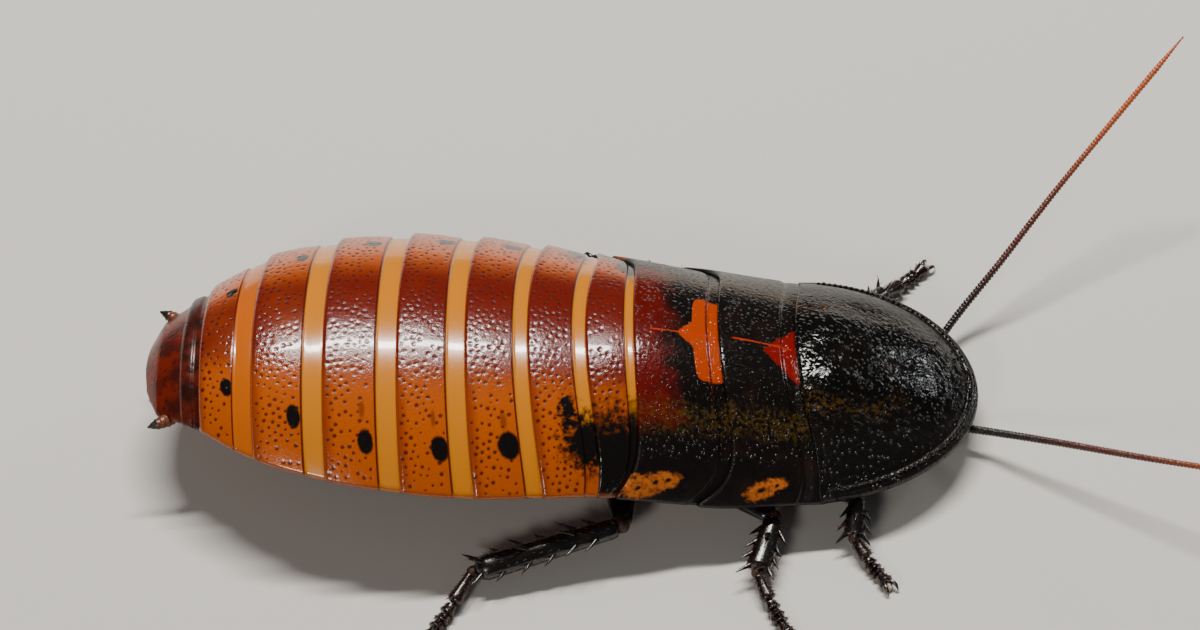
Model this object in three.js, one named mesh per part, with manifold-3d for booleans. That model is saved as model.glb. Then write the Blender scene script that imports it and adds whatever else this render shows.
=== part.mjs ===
// A Madagascar hissing cockroach (Gromphadorhina portentosa), an adult female without horns on
// the shield, life size and standing on its six feet. Millimetres, +Z up, head towards +X,
// the animal's left side towards +Y. The origin is under the middle of the whole model, on the floor.
import * as THREE from "three";
import Module from "manifold-3d";

const wasm = await Module();
wasm.setup();

// Driving dimensions

// What two touching pieces keep between them.
const GAP = 0.3;
// How far a plate's rear edge stands above the body, and its front band above it.
const LIP = 0.5;
const BAND_RAISE = 0.05;
// The thorax turns slightly to the left of the abdomen, ahead of this station.
const BEND_AT = -1;
const BEND_SLOPE = Math.tan(THREE.MathUtils.degToRad(1.5));
// Steps across the back of a ring, and as many across the belly.
const RING_STEPS = 18;

// The body's sections: station, half width, ridge height, margin height, belly height.
const SECTIONS = [
  [-33.5, 2.6, 7.0, 6.5, 6.0],
  [-32.4, 4.0, 8.0, 6.7, 5.6],
  [-30.7, 5.1, 9.0, 7.2, 5.0],
  [-29.1, 6.2, 10.0, 7.7, 4.5],
  [-25.2, 9.0, 11.4, 8.1, 3.5],
  [-20.0, 10.9, 12.2, 8.0, 2.7],
  [-14.7, 11.8, 12.3, 7.7, 2.3],
  [-9.8, 12.0, 12.0, 7.2, 2.1],
  [-5.3, 11.7, 11.6, 6.8, 2.0],
  [-1.1, 11.2, 11.2, 6.3, 2.1],
  [2.4, 11.0, 11.0, 5.6, 2.4],
  [8.6, 10.8, 9.8, 4.2, 2.6],
  [14.2, 10.4, 8.3, 3.7, 2.7],
];

// The plates from tail to head: node, rear edge, raised line, front edge, colour, and how the
// rear edge runs from margin to margin: its curve forward, its corners and its turn.
const PLATES = [
  ["abdomen_8", -30.6, -29.6, -29.1, "#30100a", [0.2, 0, 0]],
  ["abdomen_7", -29.1, -26.6, -25.2, "#b4520f", [0.2, 0, 0]],
  ["abdomen_6", -25.2, -21.5, -20.0, "#b4520f", [0.4, 0, 0]],
  ["abdomen_5", -20.0, -16.2, -14.7, "#b8560f", [0.4, 0, 0]],
  ["abdomen_4", -14.7, -11.2, -9.8, "#b8560f", [0.5, 0, 0]],
  ["abdomen_3", -9.8, -6.4, -5.3, "#b4520f", [0.8, 0, 0]],
  ["abdomen_2", -5.3, -2.1, -1.1, "#a8460e", [1.4, -0.2, 0]],
  ["abdomen_1", -1.1, 1.7, 2.4, "#7a240a", [2.0, -1.1, 0]],
  ["metathorax", 2.4, 7.75, 8.6, "#24100a", [1.0, -2.4, -0.1]],
  ["mesothorax", 8.6, 13.2, 14.0, "#140a08", [2.2, -4.2, -0.4]],
];

// The shield over the head.
const SHIELD = {
  rear: 14.3,
  sweep: [2.4, -1.4, -0.4],
  tip: 28.25,
  half: 10.5,
  shoulder: 15,
  bow: 1.9,
  ridge: 8.4,
  tipHeight: 3.15,
  fall: 1.9,
  margin: 3.6,
  thick: 0.9,
  rim: 0.55,
  rows: 13,
};

// The head hangs under the shield with its face to the floor: crown, mouth, ring profile as
// share of the length, half width and half thickness.
const CROWN = new THREE.Vector3(23.9, 0.55, 4.05);
const MOUTH = new THREE.Vector3(18.7, 0.45, 1.15);
const HEAD_PROFILE = [
  [0, 0.5, 0.35],
  [0.06, 1.6, 0.75],
  [0.2, 2.55, 1.15],
  [0.4, 2.9, 1.3],
  [0.6, 2.5, 1.2],
  [0.78, 1.8, 0.95],
  [0.92, 1.2, 0.65],
  [1, 0.6, 0.4],
];
const HEAD_SIDES = 20;
const EYE = { share: 0.27, aside: 2.35, long: 1.35, wide: 1.15, thick: 1.05 };
const SOCKET = { share: 0.36, aside: 1.15 };

// Legs, the right ones at negative y: body end of the coxa, trochanter, knee, ankle and toe.
const LEGS = {
  front_right: [
    [16.6, -2.6, 3.1],
    [15.2, -6.2, 1.9],
    [18.75, -8.6, 2.5],
    [18.45, -11.5, 1.3],
    [20.75, -14.9, 0.5],
  ],
  front_left: [
    [16.6, 3.5, 3.1],
    [15.4, 7.0, 1.9],
    [19.4, 8.8, 2.7],
    [22.0, 11.9, 1.3],
    [25.3, 15.2, 0.5],
  ],
  middle_right: [
    [10.2, -2.0, 2.6],
    [8.0, -5.8, 1.45],
    [12.7, -10.1, 2.0],
    [11.3, -14.6, 1.35],
    [13.5, -19.5, 0.5],
  ],
  middle_left: [
    [10.2, 2.5, 2.6],
    [8.2, 6.3, 1.45],
    [8.8, 11.2, 2.0],
    [3.6, 13.6, 1.35],
    [-0.8, 16.0, 0.5],
  ],
  hind_right: [
    [4.2, -1.9, 2.5],
    [1.6, -5.8, 1.4],
    [1.6, -11.6, 3.0],
    [-9.2, -14.6, 1.5],
    [-12.6, -20.2, 0.5],
  ],
  hind_left: [
    [4.2, 2.0, 2.5],
    [1.4, 6.0, 1.4],
    [-3.2, 11.0, 2.8],
    [-12.6, 13.2, 1.5],
    [-18.0, 15.9, 0.5],
  ],
};
// Half widths of the leg's pieces, and how flat the coxae and femora lie.
const COXA_R = 1.35;
const FEMUR_R = 1.1;
const TIBIA_R = { front: 0.78, middle: 0.92, hind: 0.98 };
const TARSUS_R = 0.53;
const LEG_FLAT = 0.7;
const LEG_SIDES = 8;
const TARSUS_SIDES = 6;
const PAD = { long: 0.95, wide: 0.62, top: 0.5 };
const CLAW = { root: 0.2, reach: 0.75, spread: 0.45, tip: 0.05 };
const SPINE = { root: 0.2, tip: 0.05, sunk: 0.5 };

// Antennae from the socket, under the shield's edge, up and out to the tip.
const ANTENNAE = {
  left: [
    [24.3, 4.3, 1.35],
    [26.7, 8.2, 1.9],
    [30.6, 12.2, 4.6],
    [34.5, 16.4, 7.3],
    [38.4, 20.3, 10.0],
    [44.9, 26.6, 14.5],
  ],
  right: [
    [24.6, -0.75, 1.2],
    [27.0, -1.5, 1.6],
    [33.1, -4.1, 3.3],
    [39.9, -7.1, 5.1],
    [46.6, -9.9, 6.9],
    [54.3, -12.9, 8.7],
  ],
};
const ANTENNA = { base: 0.36, end: 0.25, tip: 0.08, beads: 36, waist: 0.9, sides: 6, taperFrom: 0.93 };
const CERCUS = { x: -31.2, y: 4.4, z: 6.6, back: 1.65, out: 1.1, up: 0.1, root: 0.6 };

// Small numbers that vary the spines, the same every time.
let seed = 7;
function vary(low, high) {
  seed = (seed * 1103515245 + 12345) % 2147483648;
  return low + ((high - low) * seed) / 2147483648;
}

// Closed solids from rings and grids

const at = (p) => new THREE.Vector3(p[0], p[1], p[2]);
const V = (x, y, z) => new THREE.Vector3(x, y, z);
const mix = (a, b, t) => a + (b - a) * t;

function solidOf(points, faces) {
  const build = (list) =>
    new wasm.Manifold(
      new wasm.Mesh({
        numProp: 3,
        vertProperties: new Float32Array(points.flatMap((p) => [p.x, p.y, p.z])),
        triVerts: new Uint32Array(list.flat()),
      }),
    );
  const solid = build(faces);
  return solid.volume() > 0 ? solid : build(faces.map(([a, b, c]) => [b, a, c]));
}

const quad = (a, b, c, d) => [[a, b, c], [a, c, d]];

// The sides of a body through rings of as many points each.
function ringSides(rings) {
  const n = rings[0].length;
  const faces = [];
  for (let k = 0; k + 1 < rings.length; k++)
    for (let i = 0; i < n; i++) {
      const j = (i + 1) % n;
      faces.push(...quad(k * n + i, k * n + j, (k + 1) * n + j, (k + 1) * n + i));
    }
  return faces;
}

// Rings whose ends are closed to their middles.
function loft(rings) {
  const n = rings[0].length;
  const points = rings.flat();
  const faces = ringSides(rings);
  for (const [k, turned] of [[0, true], [rings.length - 1, false]]) {
    const middle = points.length;
    points.push(rings[k].reduce((sum, p) => sum.add(p), V(0, 0, 0)).divideScalar(n));
    for (let i = 0; i < n; i++) {
      const [a, b] = [k * n + i, k * n + ((i + 1) % n)];
      faces.push(turned ? [middle, b, a] : [middle, a, b]);
    }
  }
  return solidOf(points, faces);
}

// Rings of a back and a belly row each, whose swept ends are closed by strips between the two rows.
function bodyLoft(rings) {
  const n = rings[0].length;
  const faces = ringSides(rings);
  for (const [k, turned] of [[0, true], [rings.length - 1, false]])
    for (let i = 0; i + 1 < n / 2; i++) {
      const strip = quad(k * n + i, k * n + i + 1, k * n + n - 2 - i, k * n + n - 1 - i);
      faces.push(...(turned ? strip.map(([a, b, c]) => [a, c, b]) : strip));
    }
  return solidOf(rings.flat(), faces);
}

// Only the largest closed body of a cut or a union is kept.
function largest(solid) {
  return solid.decompose().reduce((a, b) => (a.volume() > b.volume() ? a : b));
}

const cutClear = (solid, others) => largest(others.reduce((left, other) => left.subtract(other), solid));
const joined = (solids) => largest(solids.reduce((a, b) => a.add(b)));

const animal = new THREE.Group();

function add(name, solid, colour, roughness) {
  const mesh = solid.getMesh();
  const geometry = new THREE.BufferGeometry();
  geometry.setAttribute("position", new THREE.BufferAttribute(new Float32Array(mesh.vertProperties), 3));
  geometry.setIndex(new THREE.BufferAttribute(new Uint32Array(mesh.triVerts), 1));
  geometry.computeVertexNormals();
  const material = new THREE.MeshStandardMaterial({ color: colour, roughness, metalness: 0 });
  const made = new THREE.Mesh(geometry, material);
  made.name = name;
  animal.add(made);
}

// The body's rings

// Smooth values between the stations.
function section(x) {
  const last = SECTIONS.length - 1;
  const found = SECTIONS.findIndex((s) => s[0] > x);
  const k = found < 0 ? last : Math.max(1, found);
  const [a, b] = [SECTIONS[k - 1], SECTIONS[k]];
  const [before, after] = [SECTIONS[Math.max(0, k - 2)], SECTIONS[Math.min(last, k + 1)]];
  const h = b[0] - a[0];
  const t = THREE.MathUtils.clamp((x - a[0]) / h, 0, 1);
  const ease = t * t * (3 - 2 * t);
  return [1, 2, 3, 4].map((c) => {
    const leave = ((b[c] - before[c]) / (b[0] - before[0])) * h;
    const arrive = ((after[c] - a[c]) / (after[0] - a[0])) * h;
    return mix(a[c], b[c], ease) + t * (1 - t) * ((1 - t) * leave - t * arrive);
  });
}

const middleY = (x) => Math.max(0, x - BEND_AT) * BEND_SLOPE;

// Points across an arc from margin to margin, lifted off it.
function arcPoint(x, t, half, ridge, margin, lift) {
  const arc = 2 * Math.atan((ridge - margin) / half);
  const radius = half / Math.sin(arc);
  const angle = t * arc;
  return V(
    x,
    middleY(x) + (radius + lift) * Math.sin(angle),
    margin + radius * (Math.cos(angle) - Math.cos(arc)) + lift * Math.cos(angle),
  );
}

const FLANGE = { inset: 0.9, drop: 0.55, step: 0.25, roundness: 0.75 };
const shares = (steps) => Array.from({ length: steps + 1 }, (_, i) => (2 * i) / steps - 1);
const ahead = (t, [curve, corner, turn]) => curve * t ** 2 + corner * t ** 6 + turn * t;

// One ring of the body, its back raised by lift and everything grown.
function bodyRing(x, lift, sweep, grow = 0) {
  const back = shares(RING_STEPS).map((t) => {
    const station = x + ahead(t, sweep);
    const [half, ridge, margin] = section(station);
    return arcPoint(station, t, half, ridge, margin, lift + grow);
  });
  const belly = shares(RING_STEPS).map((t) => {
    const station = x + ahead(-t, sweep);
    const [half, , margin, bottom] = section(station);
    const edge = Math.abs(t) === 1;
    const from = margin - FLANGE.drop - (edge ? 0 : FLANGE.step);
    const inset = edge ? FLANGE.inset / 3 : FLANGE.inset;
    const across = Math.max(Math.cos((t * Math.PI) / 2), 0) ** FLANGE.roundness;
    return V(
      station,
      middleY(station) - (half - inset + grow) * Math.sin((t * Math.PI) / 2),
      from - grow - (from - bottom) * across,
    );
  });
  return [...back, ...belly];
}

function plateSolid(index, grow = 0) {
  const [, rear, line, front, , own] = PLATES[index];
  const next = index + 1 < PLATES.length ? PLATES[index + 1][5] : SHIELD.sweep;
  const midway = own.map((size, i) => (size + next[i]) / 2);
  const ends = grow ? -GAP / 2 : GAP / 2;
  return bodyLoft([
    bodyRing(rear + ends, LIP, own, grow),
    bodyRing(mix(rear, line, 0.4), LIP * 0.7, own, grow),
    bodyRing(mix(rear, line, 0.8), LIP * 0.45, midway, grow),
    bodyRing(line, LIP * 0.4, next, grow),
    bodyRing(line + 0.15, BAND_RAISE, next, grow),
    bodyRing(front - ends, BAND_RAISE, next, grow),
  ]);
}

const swollen = {};
PLATES.forEach(([name, , , , colour], index) => {
  add(name, plateSolid(index), colour, 0.3);
  swollen[name] = plateSolid(index, GAP);
});

// The plate over the tail's end, and the two short feelers beside it

const TAIL_RINGS = [[-33.35, 0.05], [-32.9, 0.2], [-32.1, 0.25], [-30.75, 0.2]];
const tailSolid = (grow) => bodyLoft(TAIL_RINGS.map(([x, lift]) => bodyRing(x, lift, PLATES[0][5], grow)));
const swollenTail = tailSolid(GAP);
add("supra_anal_plate", tailSolid(0), "#5a1a0a", 0.35);

// A ring about a point, wide across and flat upwards.
function limbRing(centre, direction, wide, high, sides) {
  const across = V(0, 0, 1).cross(direction);
  if (across.lengthSq() < 1e-6) across.set(1, 0, 0);
  across.normalize();
  const up = direction.clone().cross(across).normalize();
  return Array.from({ length: sides }, (_, i) => {
    const angle = (2 * Math.PI * (i + 0.5)) / sides;
    return centre
      .clone()
      .addScaledVector(across, wide * Math.cos(angle))
      .addScaledVector(up, high * Math.sin(angle));
  });
}

// Cuts a limb square to a plane where it meets the next piece, and keeps what lies ahead of it.
function trimmed(solid, point, normal) {
  return solid.trimByPlane([normal.x, normal.y, normal.z], point.dot(normal) + GAP / 2);
}

// A limb piece. Profile rows are share of the length and share of the radius. It runs on
// past an end that has a joint plane, and is trimmed there.
const OVER = 0.9;
function limb(from, to, profile, wide, high, sides, startNormal, endNormal) {
  const direction = to.clone().sub(from).normalize();
  const last = profile.length - 1;
  const rings = profile.map(([share, size], i) => {
    const further = i === 0 && startNormal ? -OVER : i === last && endNormal ? OVER : 0;
    const centre = from.clone().lerp(to, share).addScaledVector(direction, further);
    return limbRing(centre, direction, wide * size, high * size, sides);
  });
  let solid = loft(rings);
  if (startNormal) solid = trimmed(solid, from, startNormal);
  if (endNormal) solid = trimmed(solid, to, endNormal.clone().negate());
  return solid;
}

// A tube through points, with a radius at each.
function tube(points, radii, flat, sides) {
  return loft(
    points.map((p, i) => {
      const before = points[Math.max(0, i - 1)];
      const after = points[Math.min(points.length - 1, i + 1)];
      return limbRing(p, after.clone().sub(before).normalize(), radii[i], radii[i] * flat, sides);
    }),
  );
}

const between = (a, b, c) => b.clone().sub(a).normalize().add(c.clone().sub(b).normalize()).normalize();

// A thorn with its root sunk into what carries it.
function thorn(root, direction, long, thick = SPINE.root) {
  const from = root.clone().addScaledVector(direction, -SPINE.sunk);
  const tip = root.clone().addScaledVector(direction, long);
  const base = limbRing(from, direction, thick, thick, 4);
  return loft([base, limbRing(tip, direction, SPINE.tip, SPINE.tip, 4)]);
}

for (const [side, sign] of [["left", 1], ["right", -1]]) {
  const root = V(CERCUS.x, sign * (CERCUS.y - 0.6), CERCUS.z);
  const tip = V(CERCUS.x - CERCUS.back, sign * (CERCUS.y + CERCUS.out), CERCUS.z + CERCUS.up);
  const profile = [[0, 1], [0.35, 1.05], [0.7, 0.72], [1, 0.12]];
  const cercus = limb(root, tip, profile, CERCUS.root, CERCUS.root * 0.85, 8);
  add(`cercus_${side}`, cutClear(cercus, [swollenTail, swollen.abdomen_8]), "#1a0c08", 0.4);
}

// The shield, a dome that hangs over the head

function shieldPoint(s, t, grow, under) {
  const x0 = mix(SHIELD.rear + GAP / 2 - grow, SHIELD.tip + grow - 0.04, s);
  const x = x0 + ahead(t, SHIELD.sweep) * (1 - s) ** 2;
  const u = Math.max(0, (x - SHIELD.shoulder) / (SHIELD.tip + grow - SHIELD.shoulder));
  const half = SHIELD.half * Math.sqrt(Math.max(0.002, 1 - u ** SHIELD.bow));
  const along = THREE.MathUtils.clamp((x - SHIELD.rear) / (SHIELD.tip - SHIELD.rear), 0, 1);
  const ridge = mix(SHIELD.ridge + LIP, SHIELD.tipHeight + 0.15, along ** SHIELD.fall);
  const margin = mix(SHIELD.margin, SHIELD.tipHeight, along ** 6);
  if (!under) return arcPoint(x, t, half + grow, ridge, margin, grow);
  const inner = Math.max(0.25, half - SHIELD.rim);
  return arcPoint(x, t, inner + grow, ridge - SHIELD.thick - grow, margin - SHIELD.thick - grow, 0);
}

function shieldSolid(grow = 0) {
  const rings = shares(SHIELD.rows).map((share) => {
    const s = Math.sin(((share + 1) * Math.PI) / 4);
    const top = shares(RING_STEPS).map((t) => shieldPoint(s, t, grow, false));
    const bottom = shares(RING_STEPS).map((t) => shieldPoint(s, -t, grow, true));
    return [...top, ...bottom];
  });
  return bodyLoft(rings);
}

// All the room from a little under the shield upwards, which is cut from what lies beneath it.
function shieldRoom() {
  const rings = shares(SHIELD.rows).map((share) => {
    const s = Math.sin(((share + 1) * Math.PI) / 4);
    const bottom = shares(RING_STEPS).map((t) => shieldPoint(s, -t, GAP, true));
    const top = shares(RING_STEPS).map((t) => shieldPoint(s, t, GAP, true).setZ(20));
    return [...top, ...bottom];
  });
  return bodyLoft(rings);
}

const room = shieldRoom();
add("pronotum", shieldSolid(), "#120c0a", 0.4);

// The part of the thorax under the shield, and the neck

const PROTHORAX_RINGS = [
  [14.35, 7.6, 8.5, 2.7],
  [16.6, 7.2, 8.0, 2.75],
  [18.2, 5.6, 7.4, 3.1],
  [19.0, 3.6, 6.8, 3.7],
];

function prothoraxRing([x, half, top, bottom], grow) {
  const [middle, height] = [(top + bottom) / 2, (top - bottom) / 2 + grow];
  return Array.from({ length: 24 }, (_, i) => {
    const angle = (2 * Math.PI * i) / 24;
    const [c, s] = [Math.cos(angle), Math.sin(angle)];
    const y = middleY(x) + (half + grow) * Math.sign(c) * Math.abs(c) ** 0.8;
    return V(x, y, middle + height * Math.sign(s) * Math.abs(s) ** 0.8);
  });
}

const prothoraxSolid = (grow) => loft(PROTHORAX_RINGS.map((row) => prothoraxRing(row, grow)));
add("prothorax", cutClear(prothoraxSolid(0), [room, swollen.mesothorax]), "#3a1c12", 0.45);
const swollenProthorax = prothoraxSolid(GAP);

// The head, its eyes, jaws, palps and antennae

const headAxis = MOUTH.clone().sub(CROWN);
const headLength = headAxis.length();
const headDown = headAxis.clone().normalize();
const headSide = V(0, 1, 0);
const headFace = headSide.clone().cross(headDown).negate().normalize();
if (headFace.z > 0) headFace.negate();

function headPoint(share, aside, out) {
  return CROWN.clone()
    .addScaledVector(headAxis, share)
    .addScaledVector(headSide, aside)
    .addScaledVector(headFace, out);
}

function headSolid(grow = 0) {
  return loft(
    HEAD_PROFILE.map(([share, wide, thick], i) => {
      const ends = i === 0 ? -grow : i === HEAD_PROFILE.length - 1 ? grow : 0;
      return Array.from({ length: HEAD_SIDES }, (_, k) => {
        const angle = (2 * Math.PI * k) / HEAD_SIDES;
        const [aside, out] = [(wide + grow) * Math.cos(angle), (thick + grow) * Math.sin(angle)];
        return headPoint(share + ends / headLength, aside, out);
      });
    }),
  );
}

const swollenHead = headSolid(GAP);
add("head", cutClear(headSolid(), [room, swollenProthorax]), "#2a0f08", 0.25);

function ballSolid(centre, long, wide, thick, rows = 8, sides = 12) {
  const rings = Array.from({ length: rows }, (_, i) => {
    const polar = (Math.PI * (i + 0.5)) / rows;
    return Array.from({ length: sides }, (_, k) => {
      const angle = (2 * Math.PI * k) / sides;
      return centre
        .clone()
        .addScaledVector(headDown, -long * Math.cos(polar))
        .addScaledVector(headSide, wide * Math.sin(polar) * Math.cos(angle))
        .addScaledVector(headFace, thick * Math.sin(polar) * Math.sin(angle));
    });
  });
  return loft(rings);
}

// Pieces of the mouth: share along the head, aside, out, then steps of the palps from there.
const JAW = { share: 0.9, aside: 0.62, long: 0.95, wide: 0.55, thick: 0.5 };
const PALPS = {
  maxillary: {
    from: [0.78, 1.55, 0.1],
    steps: [[0.6, 0.5, 0.3], [-0.1, 0.75, 0.65], [-0.9, 0.15, 0.7], [-1.1, -0.1, 0.25]],
    radii: [0.3, 0.27, 0.27, 0.25, 0.27],
  },
  labial: {
    from: [0.93, 0.75, -0.55],
    steps: [[0.55, 0.25, 0], [0.35, 0.35, 0.35], [-0.1, 0.3, 0.65]],
    radii: [0.27, 0.25, 0.25, 0.26],
  },
};

const palpSolids = {};
for (const [side, sign] of [["left", 1], ["right", -1]]) {
  const eyeAt = headPoint(EYE.share, sign * EYE.aside, 0.05);
  const eye = ballSolid(eyeAt, EYE.long, EYE.wide, EYE.thick);
  add(`eye_${side}`, cutClear(eye, [swollenHead, room]), "#0a0808", 0.2);
  const jaw = ballSolid(headPoint(JAW.share + 0.09, sign * JAW.aside, 0.1), JAW.long, JAW.wide, JAW.thick);
  add(`mandible_${side}`, cutClear(jaw, [swollenHead]), "#3a1408", 0.3);
  for (const [kind, palp] of Object.entries(PALPS)) {
    const points = [headPoint(palp.from[0], sign * palp.from[1], palp.from[2])];
    for (const [down, aside, out] of palp.steps)
      points.push(
        points[points.length - 1]
          .clone()
          .addScaledVector(headDown, down)
          .addScaledVector(headSide, sign * aside)
          .addScaledVector(headFace, out),
      );
    palpSolids[`palp_${kind}_${side}`] = tube(points, palp.radii, 1, 6);
  }
}
for (const [name, solid] of Object.entries(palpSolids)) {
  add(name, cutClear(solid, [swollenHead]), "#7a4a24", 0.4);
}

const NECK = { from: [18.6, 0.52, 5.1], to: [21.2, 0.52, 3.6], wide: 1.5, high: 0.9 };
const neck = limb(at(NECK.from), at(NECK.to), [[0, 1], [1, 0.9]], NECK.wide, NECK.high, 12);
add("neck", cutClear(neck, [swollenHead, swollenProthorax, room]), "#8a6a48", 0.6);

// Each antenna is a row of beads, each with a narrower waist behind it.
function antennaSolid(side, sign) {
  const socket = headPoint(SOCKET.share, sign * SOCKET.aside, 0.9);
  const leave = headPoint(SOCKET.share - 0.06, sign * (SOCKET.aside + 0.25), 1.75);
  const path = new THREE.CatmullRomCurve3([socket, leave, ...ANTENNAE[side].map(at)], false, "centripetal");
  const points = [];
  const radii = [];
  for (let k = 0; k < ANTENNA.beads; k++)
    for (const [share, size] of [[0.12, ANTENNA.waist], [0.6, 1]]) {
      const u = (k + share) / ANTENNA.beads;
      const fade = THREE.MathUtils.smoothstep(u, ANTENNA.taperFrom, 1);
      points.push(path.getPointAt(u));
      radii.push(mix(mix(ANTENNA.base, ANTENNA.end, Math.min(1, u * 1.6)), ANTENNA.tip, fade) * size);
    }
  points.push(path.getPointAt(1));
  radii.push(ANTENNA.tip);
  return tube(points, radii, 1, ANTENNA.sides);
}

add("antenna_left", cutClear(antennaSolid("left", 1), [swollenHead]), "#3a160c", 0.45);
add("antenna_right", cutClear(antennaSolid("right", -1), [swollenHead]), "#3a160c", 0.45);

// Legs

const COXA_PROFILE = [[0, 1.0], [0.45, 1.05], [0.85, 0.75], [1, 0.6]];
const FEMUR_PROFILE = [[0, 0.55], [0.2, 0.85], [0.5, 1], [0.85, 0.75], [1, 0.6]];
const TIBIA_PROFILE = [[0, 0.85], [0.15, 0.8], [0.6, 0.95], [0.92, 1], [1, 0.8]];

// Spines in rows on the tibia: share from, share to, how many, length, angle about the tibia.
const SPINE_ROWS = {
  front: [
    [0.35, 0.9, 3, 1.0, 15],
    [0.3, 0.9, 3, 1.0, 165],
    [0.45, 0.9, 2, 0.8, 90],
    [0.5, 0.9, 2, 0.8, 270],
  ],
  middle: [
    [0.25, 0.9, 4, 1.1, 15],
    [0.25, 0.9, 4, 1.1, 165],
    [0.4, 0.9, 2, 0.9, 90],
    [0.45, 0.9, 2, 0.9, 270],
  ],
  hind: [
    [0.18, 0.93, 6, 1.2, 10],
    [0.15, 0.93, 6, 1.2, 170],
    [0.3, 0.9, 3, 1.25, 90],
    [0.4, 0.9, 3, 0.9, 270],
  ],
};

function tibiaSpines(from, to, rows, thick) {
  const direction = to.clone().sub(from).normalize();
  const across = V(0, 0, 1).cross(direction).normalize();
  const up = direction.clone().cross(across).normalize();
  const spines = [];
  for (const [first, final, count, long, angle] of rows)
    for (let k = 0; k < count; k++) {
      const share = mix(first, final, count === 1 ? 0 : k / (count - 1)) + vary(-0.02, 0.02);
      const turn = THREE.MathUtils.degToRad(angle + vary(-8, 8));
      const out = across.clone().multiplyScalar(Math.cos(turn)).addScaledVector(up, Math.sin(turn));
      const root = from.clone().lerp(to, Math.min(share, 0.95)).addScaledVector(out, thick * 0.75);
      const lean = out.clone().multiplyScalar(0.72).addScaledVector(direction, 0.69).normalize();
      spines.push(thorn(root, lean, long * vary(0.85, 1.1)));
    }
  return spines;
}

// The foot's path: down from the ankle to the floor, then along it to the claws.
const FOOT_SHARES = [0, 0.3, 0.34, 0.52, 0.56, 0.7, 0.74, 0.86, 0.9, 1];
const FOOT_SIZES = [0.9, 1.1, 0.85, 1.1, 0.85, 1.1, 0.85, 1.05, 0.8, 0.95];

function tarsusSolid(ankle, toe, startNormal) {
  const direction = toe.clone().sub(ankle).setZ(0).normalize();
  const points = FOOT_SHARES.map((share) => {
    const p = ankle.clone().lerp(toe, share);
    p.z = toe.z + (ankle.z - toe.z) * Math.max(0, 1 - share / 0.62) ** 1.3;
    return p;
  });
  points[0].addScaledVector(startNormal, -OVER / 2);
  const foot = tube(points, FOOT_SIZES.map((size) => size * TARSUS_R), 0.9, TARSUS_SIDES);
  const pieces = [trimmed(foot, ankle, startNormal)];
  for (const share of [0.68, 0.97]) {
    const middle = ankle.clone().lerp(toe, share);
    const corner = (across, along, z) => {
      const side = V(-direction.y, direction.x, 0);
      return V(middle.x, middle.y, z)
        .addScaledVector(side, (across * PAD.wide) / 2)
        .addScaledVector(direction, (along * PAD.long) / 2);
    };
    const outline = [[1, -0.5], [1, 0.5], [0.5, 1], [-0.5, 1], [-1, 0.5], [-1, -0.5], [-0.5, -1], [0.5, -1]];
    const sole = outline.map(([a, b]) => corner(a, b, 0));
    pieces.push(loft([sole, outline.map(([a, b]) => corner(a * 0.9, b * 0.9, PAD.top))]));
  }
  for (const sign of [1, -1]) {
    const side = V(-direction.y, direction.x, 0).multiplyScalar(sign);
    const root = toe.clone().addScaledVector(side, 0.14).addScaledVector(direction, -0.25);
    const knuckle = root.clone().addScaledVector(direction, 0.6).addScaledVector(side, 0.25);
    knuckle.z += 0.06;
    const tip = toe.clone().addScaledVector(direction, CLAW.reach).addScaledVector(side, CLAW.spread);
    tip.z = 0.12;
    pieces.push(tube([root, knuckle, tip], [CLAW.root, CLAW.root, CLAW.tip], 1, 5));
  }
  return joined(pieces);
}

for (const [name, chain] of Object.entries(LEGS)) {
  const [hip, trochanter, knee, ankle, toe] = chain.map(at);
  const rank = name.split("_")[0];
  const atTrochanter = between(hip, trochanter, knee);
  const atKnee = between(trochanter, knee, ankle);
  const atAnkle = between(knee, ankle, toe);
  const bodies =
    rank === "front"
      ? [swollenProthorax, swollen.mesothorax, room]
      : [swollen.mesothorax, swollen.metathorax, swollen.abdomen_1, swollen.abdomen_2, swollenProthorax];
  const coxa = limb(hip, trochanter, COXA_PROFILE, COXA_R, COXA_R * LEG_FLAT, LEG_SIDES, null, atTrochanter);
  const femur = limb(
    trochanter, knee, FEMUR_PROFILE, FEMUR_R, FEMUR_R * LEG_FLAT, LEG_SIDES, atTrochanter, atKnee,
  );
  const thick = TIBIA_R[rank];
  const shaft = limb(knee, ankle, TIBIA_PROFILE, thick, thick * 0.9, LEG_SIDES, atKnee, atAnkle);
  const tibia = joined([shaft, ...tibiaSpines(knee, ankle, SPINE_ROWS[rank], thick)]);
  add(`${name}_coxa`, cutClear(coxa, bodies), "#2a1009", 0.35);
  add(`${name}_femur`, cutClear(femur, bodies), "#1c0c08", 0.3);
  add(`${name}_tibia`, cutClear(tibia, bodies), "#140a08", 0.3);
  add(`${name}_tarsus`, tarsusSolid(ankle, toe, atAnkle), "#1c100a", 0.4);
}

// The origin goes to the middle of the whole model's box, on the floor
const whole = new THREE.Box3().setFromObject(animal);
const middle = whole.getCenter(V(0, 0, 0));
for (const piece of animal.children) piece.geometry.translate(-middle.x, -middle.y, -whole.min.z);

export default animal;
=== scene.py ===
# A Madagascar hissing cockroach, an adult female, as a still life-size museum model that stands
# on its six feet. It is described from the abdomen to the head, and then the legs and the room.
import math
import random

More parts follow.
